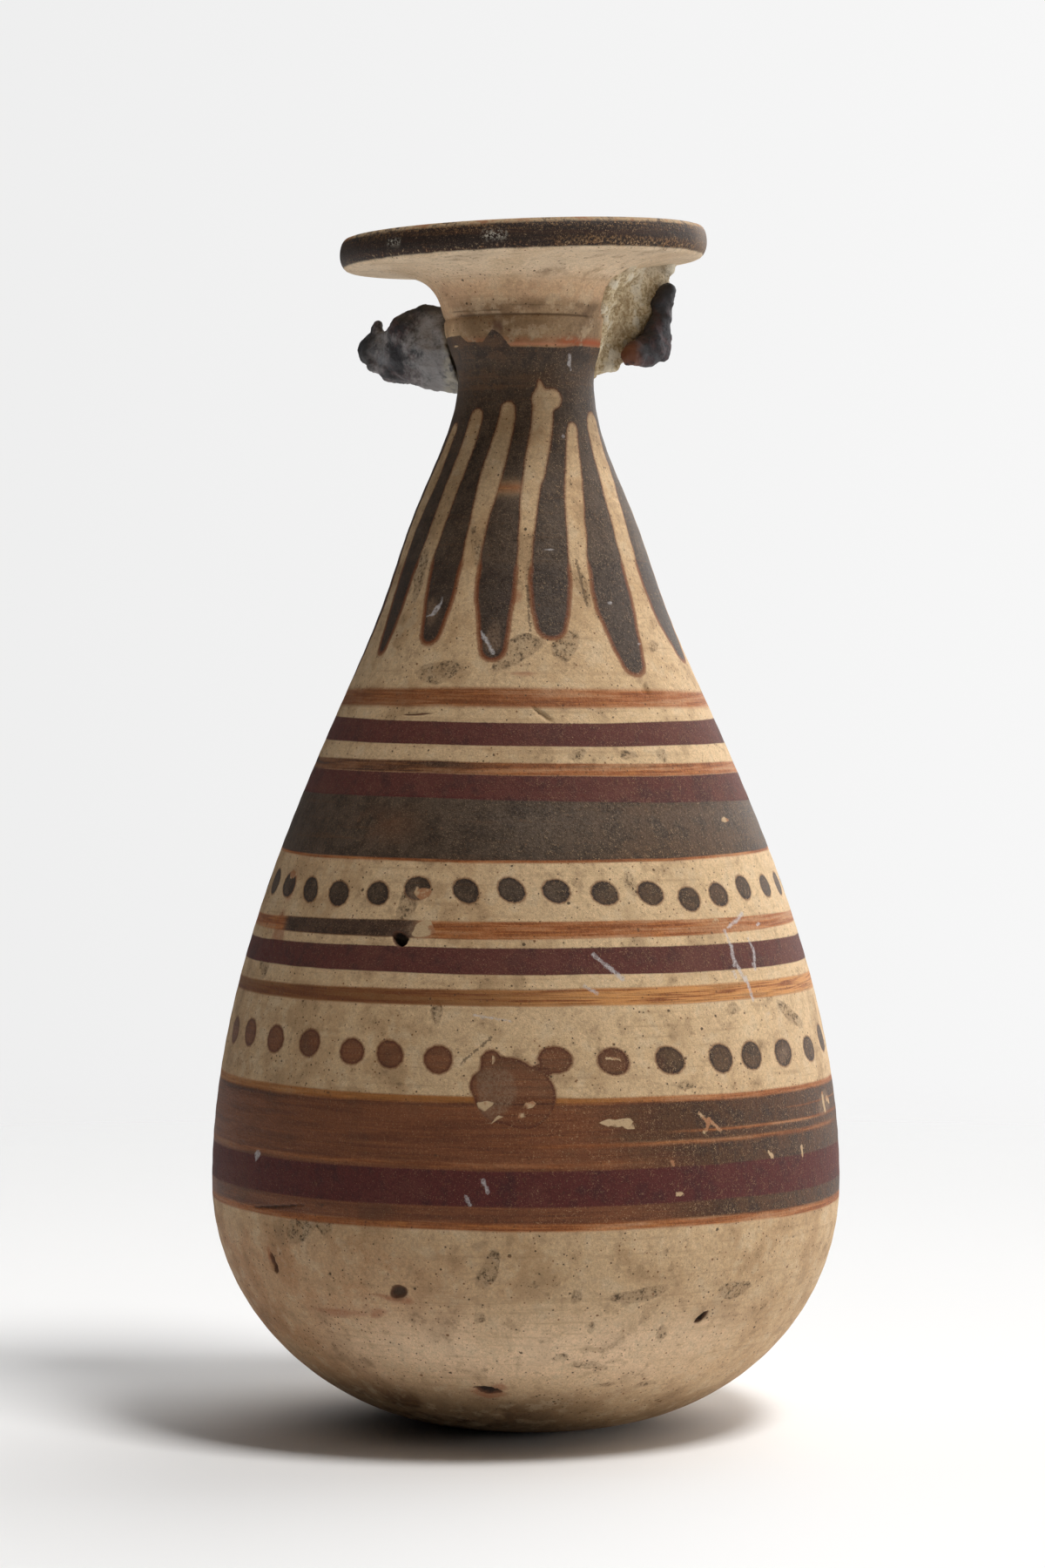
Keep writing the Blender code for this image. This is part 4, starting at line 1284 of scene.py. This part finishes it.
def make_crust(sizes, growth, tree):
    """The lug's web under its crust, and the crust that creeps over neck and disc round it."""
    out = Vector((math.cos(LUG_AZIMUTH), math.sin(LUG_AZIMUTH), 0))
    across = Vector((-out.y, out.x, 0))
    lug_angle = 90 + math.degrees(LUG_AZIMUTH)
    shape = bmesh.new()
    sides = []
    for sideways in (-LUG_THICKNESS / 2, LUG_THICKNESS / 2):
        ring = []
        for radius, height in lug_outline(sizes):
            point = radius * WEB_SHARE * out + sideways * across
            ring.append(shape.verts.new(point + Vector((0, 0, height + point.x * TILT_SLOPE * WEB_TILT))))
        sides.append(ring)
        shape.faces.new(ring if sideways < 0 else ring[::-1])
    near, far = sides
    for side in range(len(near)):
        following = (side + 1) % len(near)
        shape.faces.new((near[following], near[side], far[side], far[following]))
    bmesh.ops.recalc_face_normals(shape, faces=shape.faces)
    chance = random.Random(growth.seed)
    neck_height = sizes.height - sizes.neck_below_mouth
    underside = sizes.height - sizes.lip_thickness
    heights, radii = zip(
        (neck_height, sizes.neck_radius), (neck_height + COLLAR_HEIGHT, sizes.collar_radius),
        *TRUMPET, (underside, sizes.lip_radius - LIP_UNDERCUT),
    )
    for _ in range(CREEPING_LUMPS):
        height = neck_height + (underside - neck_height) * chance.random() ** 0.62
        share = (height - neck_height) / (underside - neck_height)
        spread = 26 + 30 * share
        turn = chance.uniform(-1, 1)
        radius = float(np.interp(height, heights, radii))
        size = chance.uniform(*CREEPING_SIZES)
        sink = size * (0.45 + 0.55 * abs(turn) ** 1.5)
        direction = round_flask(lug_angle + spread * turn)
        lean = direction * (-sink * (1 - 0.7 * share))
        middle = direction * min(radius, sizes.lip_radius - CRUST_INSET) + lean
        middle.z = height + sink * 0.6 * share + middle.x * TILT_SLOPE * share
        add_lump(shape, middle, size)
    return melted_piece(
        "crusted_lug", shape, CRUST_LUMPS, growth, tree,
        {"Knob size": 0.0015, "Knob height": growth.crust_knob, "Grain size": 0.00045,
         "Grain height": growth.crust_grain, "Seed": growth.seed, "Material": crust_material()},
    )


def iron_material():
    """Rusted iron: blue-black blisters, purple-brown and brown rust, and a grey bloom."""
    material, net = shader_net("Rusted iron")
    spot = net.spot()
    x, _, z = net.split(spot)
    broad = net.noise(spot, 0.30, 3.0)
    patchy = net.noise(spot, 0.75, 4.0, 0.6)
    grain = net.noise(spot, 3.2, 4.0, 0.6)
    left = x.below(-3.0, 3.0)
    right = x.above(8.0, 9.0)
    near_neck = x.above(-15.5, -10.0) * left * z.below(129.0, 132.0)
    bloom_and_sheen = (broad * 0.6 + patchy * 0.4 + grain.swing(0.35) + near_neck * 0.16).above(0.40, 0.68) * left
    black = x.below(-19.2, -17.9) + z.above(130.4, 131.6) * left + z.above(130.6, 132.0) * right
    brown_end = x.below(12.6, 14.2) * x.above(8.0, 10.0) * z.below(126.6, 128.0)
    tone = net.coats(
        srgb(50, 47, 50),
        (74, 52, 52, patchy.above(0.45, 0.60) * 0.8),
        (22, 22, 26, grain.above(0.50, 0.66) * 0.7),
        (172, 168, 166, bloom_and_sheen * 0.72),
        (150, 150, 152, x.bell(-17.0, 0.9) * z.bell(125.4, 0.9) * 0.55),
        (186, 178, 160, x.above(-10.2, -9.0) * left * patchy.above(0.34, 0.50) * 0.75),
        (26, 24, 26, black.least(1.0) * 0.75),
        (118, 68, 38, brown_end * patchy.above(0.28, 0.48) * 0.85),
        (140, 134, 130, grain.above(0.60, 0.70) * right * z.below(125.6, 127.0) * 0.5),
    )
    roughness = 0.62 + grain.swing(0.4) + bloom_and_sheen * 0.2
    close_shader(net, tone, roughness, grain.swing(0.12), 0.5)
    return material


# Lumps that fill out the iron's solids: x, y, z and radius in mm
LEFT_LUMPS = (
    (-18.6, 9.8, 126.3, 1.25), (-18, 9.2, 125.2, 1.2), (-16.2, 8.4, 124.6, 1.6), (-15.4, 7.9, 127, 1.9),
    (-17.6, 8.9, 127.6, 0.95), (-13, 6.9, 125, 2.4), (-12.8, 6.8, 128.2, 2.2), (-10, 5.6, 125.2, 2.9),
    (-10.2, 5.5, 129.6, 2.3), (-8.2, 4.6, 127.4, 2.8),
)
RIGHT_LUMPS = (
    (16.9, 5.4, 133.6, 1.1), (16.5, 5.2, 132.9, 1.15), (16, 4.9, 132.2, 1.1), (16.7, 5.1, 132.1, 0.9),
    (16.1, 4.9, 131.2, 1.05), (16.3, 4.8, 130.4, 0.95), (15.8, 4.6, 129.8, 1.2), (16.2, 4.6, 129, 1.1),
    (15.3, 4.2, 128.8, 1.35), (16.3, 4.5, 128, 1.1), (15.1, 3.9, 127.6, 1.55), (16.25, 4.3, 126.9, 1.15),
    (14.2, 3.3, 127.3, 1.3), (15.3, 3.7, 126.5, 1.45), (13.9, 2.9, 126.4, 1.45), (12.9, 2.1, 126.3, 1.4),
    (12.3, 1.7, 126, 1.2), (13.3, 2.3, 125.7, 1.15), (14.6, 3.1, 125.8, 1.15), (15.9, 4.1, 126.1, 1.05),
)


def make_iron(node, name, lumps, growth, tree, material):
    """One iron remnant: its solid, filled out with lumps, melted and roughened."""
    shape = bmesh.new()
    shape.from_mesh(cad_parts[node].data)
    bmesh.ops.remove_doubles(shape, verts=shape.verts, dist=1e-6)
    return melted_piece(
        name, shape, lumps, growth, tree,
        {"Knob size": 0.0016, "Knob height": growth.iron_knob, "Grain size": 0.00050,
         "Grain height": growth.iron_grain, "Seed": growth.seed + 3, "Material": material},
    )


# Stage
CAMERA_PLACE = (-0.0004, -0.5452, 0.0932)
CAMERA_PITCH = math.atan2(175, 5300)
CAMERA_LENS = 106.0
CAMERA_SENSOR = 36.0
CAMERA_NEAREST = 0.01
LIGHT_TARGET = (0.0, 0.0, 0.060)
# Angle round the flask, angle above the floor, distance and side of the square light
KEY_LIGHT = (54.0, 64.0, 1.60, 0.42)
KEY_COLOUR = (1.0, 0.99, 0.975)
# Brightness that the ground beyond the floor throws up
GROUND_LIGHT = 0.60
BACK_WINDOW_SIDE = (0.583, 0.694, 0.423)
FLOOR_TONE = (0.86, 0.86, 0.86, 1.0)
# Distances from the flask between which the floor fades into the ground
FLOOR_FADE = (0.13, 0.45)


def soft_light(name, place, power, colour):
    """A square light at an angle and height round the flask, turned towards it."""
    azimuth, rise, distance, size = place
    light = bpy.data.lights.new(name, "AREA")
    light.shape = "SQUARE"
    light.size = size
    light.energy = power
    light.color = colour
    item = bpy.data.objects.new(name, light)
    bpy.context.scene.collection.objects.link(item)
    level = math.cos(math.radians(rise)) * distance
    item.location = round_flask(azimuth) * level + Vector((0, 0, math.sin(math.radians(rise)) * distance))
    item.location += Vector(LIGHT_TARGET)
    item.rotation_euler = (Vector(LIGHT_TARGET) - item.location).to_track_quat("-Z", "Y").to_euler()


def make_stage(settings):
    """Pale floor, soft light, room and camera."""
    scene = bpy.context.scene
    scene.view_settings.view_transform = "Standard"
    scene.view_settings.look = "None"
    shape = bmesh.new()
    bmesh.ops.create_circle(shape, cap_ends=True, segments=96, radius=settings.floor_radius)
    floor = new_piece("pale_floor")
    shape.to_mesh(floor.data)
    shape.free()
    material, net = shader_net("Pale floor")
    x, y, _ = net.split(net.add("ShaderNodeTexCoord", out=3))
    away = (x * x + y * y) ** 0.5
    diffuse = net.add("ShaderNodeBsdfDiffuse", None, {"Color": FLOOR_TONE})
    clear = net.add("ShaderNodeBsdfTransparent")
    mixed = net.add("ShaderNodeMixShader", None, (away.above(*FLOOR_FADE), diffuse, clear))
    net.add("ShaderNodeOutputMaterial", None, {"Surface": mixed})
    floor.data.materials.append(material)

    world = bpy.data.worlds.new("Bright room")
    scene.world = world
    world.use_nodes = True
    world.node_tree.nodes.clear()
    net = Net(world.node_tree)
    seen = net.add("ShaderNodeLightPath")
    across, along, rise = net.split(net.add("ShaderNodeTexCoord"))
    low = rise.below(0.50, 0.65)
    ground = rise.below(-0.03, 0.0)
    strip = across.above(0.93, 0.975) * rise.below(0.17, 0.25)
    back_x, back_y, back_z = BACK_WINDOW_SIDE
    behind = (across * back_x + along * back_y + rise * back_z).above(0.74, 0.86)
    walls = low * along.above(-0.1, 0.3) * settings.back_wall + strip * settings.low_window
    lighting = walls + behind * settings.back_window
    lighting = lighting + (1 - low) * along.above(-0.05, 0.05) * settings.ceiling
    lighting = lighting + ground * (GROUND_LIGHT - lighting)
    shown = settings.backdrop + across.most(-0.12).least(0.12) * 0.30
    strength = lighting + seen * (shown - lighting)
    background = net.add("ShaderNodeBackground", None, {"Color": (1.0, 1.0, 1.0, 1.0), "Strength": strength})
    net.add("ShaderNodeOutputWorld", None, {"Surface": background})

    soft_light("key", KEY_LIGHT, settings.key_power, KEY_COLOUR)

    camera = bpy.data.cameras.new("camera")
    camera.lens = CAMERA_LENS
    camera.sensor_width = CAMERA_SENSOR
    camera.clip_start = CAMERA_NEAREST
    camera.dof.use_dof = False
    item = bpy.data.objects.new("camera", camera)
    scene.collection.objects.link(item)
    item.location = CAMERA_PLACE
    item.rotation_euler = (math.pi / 2 - CAMERA_PITCH, 0, 0)
    scene.camera = item


class FLASK_OT_painted_flask(bpy.types.Operator):
    """Turn, carve and paint the clay flask"""

    bl_idname = "flask.painted_flask"
    bl_label = "Make Painted Flask"

    def execute(self, context):
        item = make_flask(context.scene.flask_sizes, context.scene.paint_colours)
        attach(item, BODY)
        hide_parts("flask")
        return {"FINISHED"}


class FLASK_OT_crusted_lug(bpy.types.Operator):
    """Grow the burial crust over the lug"""

    bl_idname = "flask.crusted_lug"
    bl_label = "Make Crusted Lug"

    def execute(self, context):
        scene = context.scene
        tree = bpy.data.node_groups.get("Rough growth") or growth_rule()
        item = make_crust(scene.flask_sizes, scene.growth_sizes, tree)
        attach(item, BODY)
        return {"FINISHED"}


class FLASK_OT_iron_remnants(bpy.types.Operator):
    """Rust the two iron remnants"""

    bl_idname = "flask.iron_remnants"
    bl_label = "Make Iron Remnants"

    def execute(self, context):
        tree = bpy.data.node_groups.get("Rough growth") or growth_rule()
        material = iron_material()
        for node, name, lumps in (
            ("iron_remnant_left", "rusted_iron_left", LEFT_LUMPS),
            ("iron_remnant_right", "rusted_iron_right", RIGHT_LUMPS),
        ):
            item = make_iron(node, name, lumps, context.scene.growth_sizes, tree, material)
            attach(item, BODY)
            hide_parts(node)
        return {"FINISHED"}


class FLASK_OT_stage(bpy.types.Operator):
    """Set the floor, the light and the camera"""

    bl_idname = "flask.stage"
    bl_label = "Set Stage"

    def execute(self, context):
        make_stage(context.scene.stage_settings)
        return {"FINISHED"}


class FLASK_PT_panel(bpy.types.Panel):
    """Lists the flask's sizes, colours and operators"""

    bl_label = "Oil Flask"
    bl_idname = "FLASK_PT_panel"
    bl_space_type = "VIEW_3D"
    bl_region_type = "UI"
    bl_category = "Oil Flask"

    def draw(self, context):
        layout = self.layout
        for group in ("flask_sizes", "paint_colours", "growth_sizes", "stage_settings"):
            settings = getattr(context.scene, group)
            box = layout.box()
            box.label(text=group.replace("_", " ").capitalize())
            for name in settings.__annotations__:
                box.prop(settings, name)
        for operator in OPERATORS:
            layout.operator(operator.bl_idname)


GROUPS = {
    "flask_sizes": FlaskSizes, "paint_colours": PaintColours, "growth_sizes": GrowthSizes,
    "stage_settings": StageSettings,
}
OPERATORS = (FLASK_OT_painted_flask, FLASK_OT_crusted_lug, FLASK_OT_iron_remnants, FLASK_OT_stage)


def register():
    for kind in (*GROUPS.values(), *OPERATORS, FLASK_PT_panel):
        bpy.utils.register_class(kind)
    for name, kind in GROUPS.items():
        setattr(bpy.types.Scene, name, PointerProperty(type=kind))


def unregister():
    for name in GROUPS:
        delattr(bpy.types.Scene, name)
    for kind in (FLASK_PT_panel, *OPERATORS[::-1], *reversed(GROUPS.values())):
        bpy.utils.unregister_class(kind)


def main():
    register()
    bpy.ops.flask.painted_flask()
    bpy.ops.flask.crusted_lug()
    bpy.ops.flask.iron_remnants()
    bpy.ops.flask.stage()


if __name__ == "__main__":
    main()
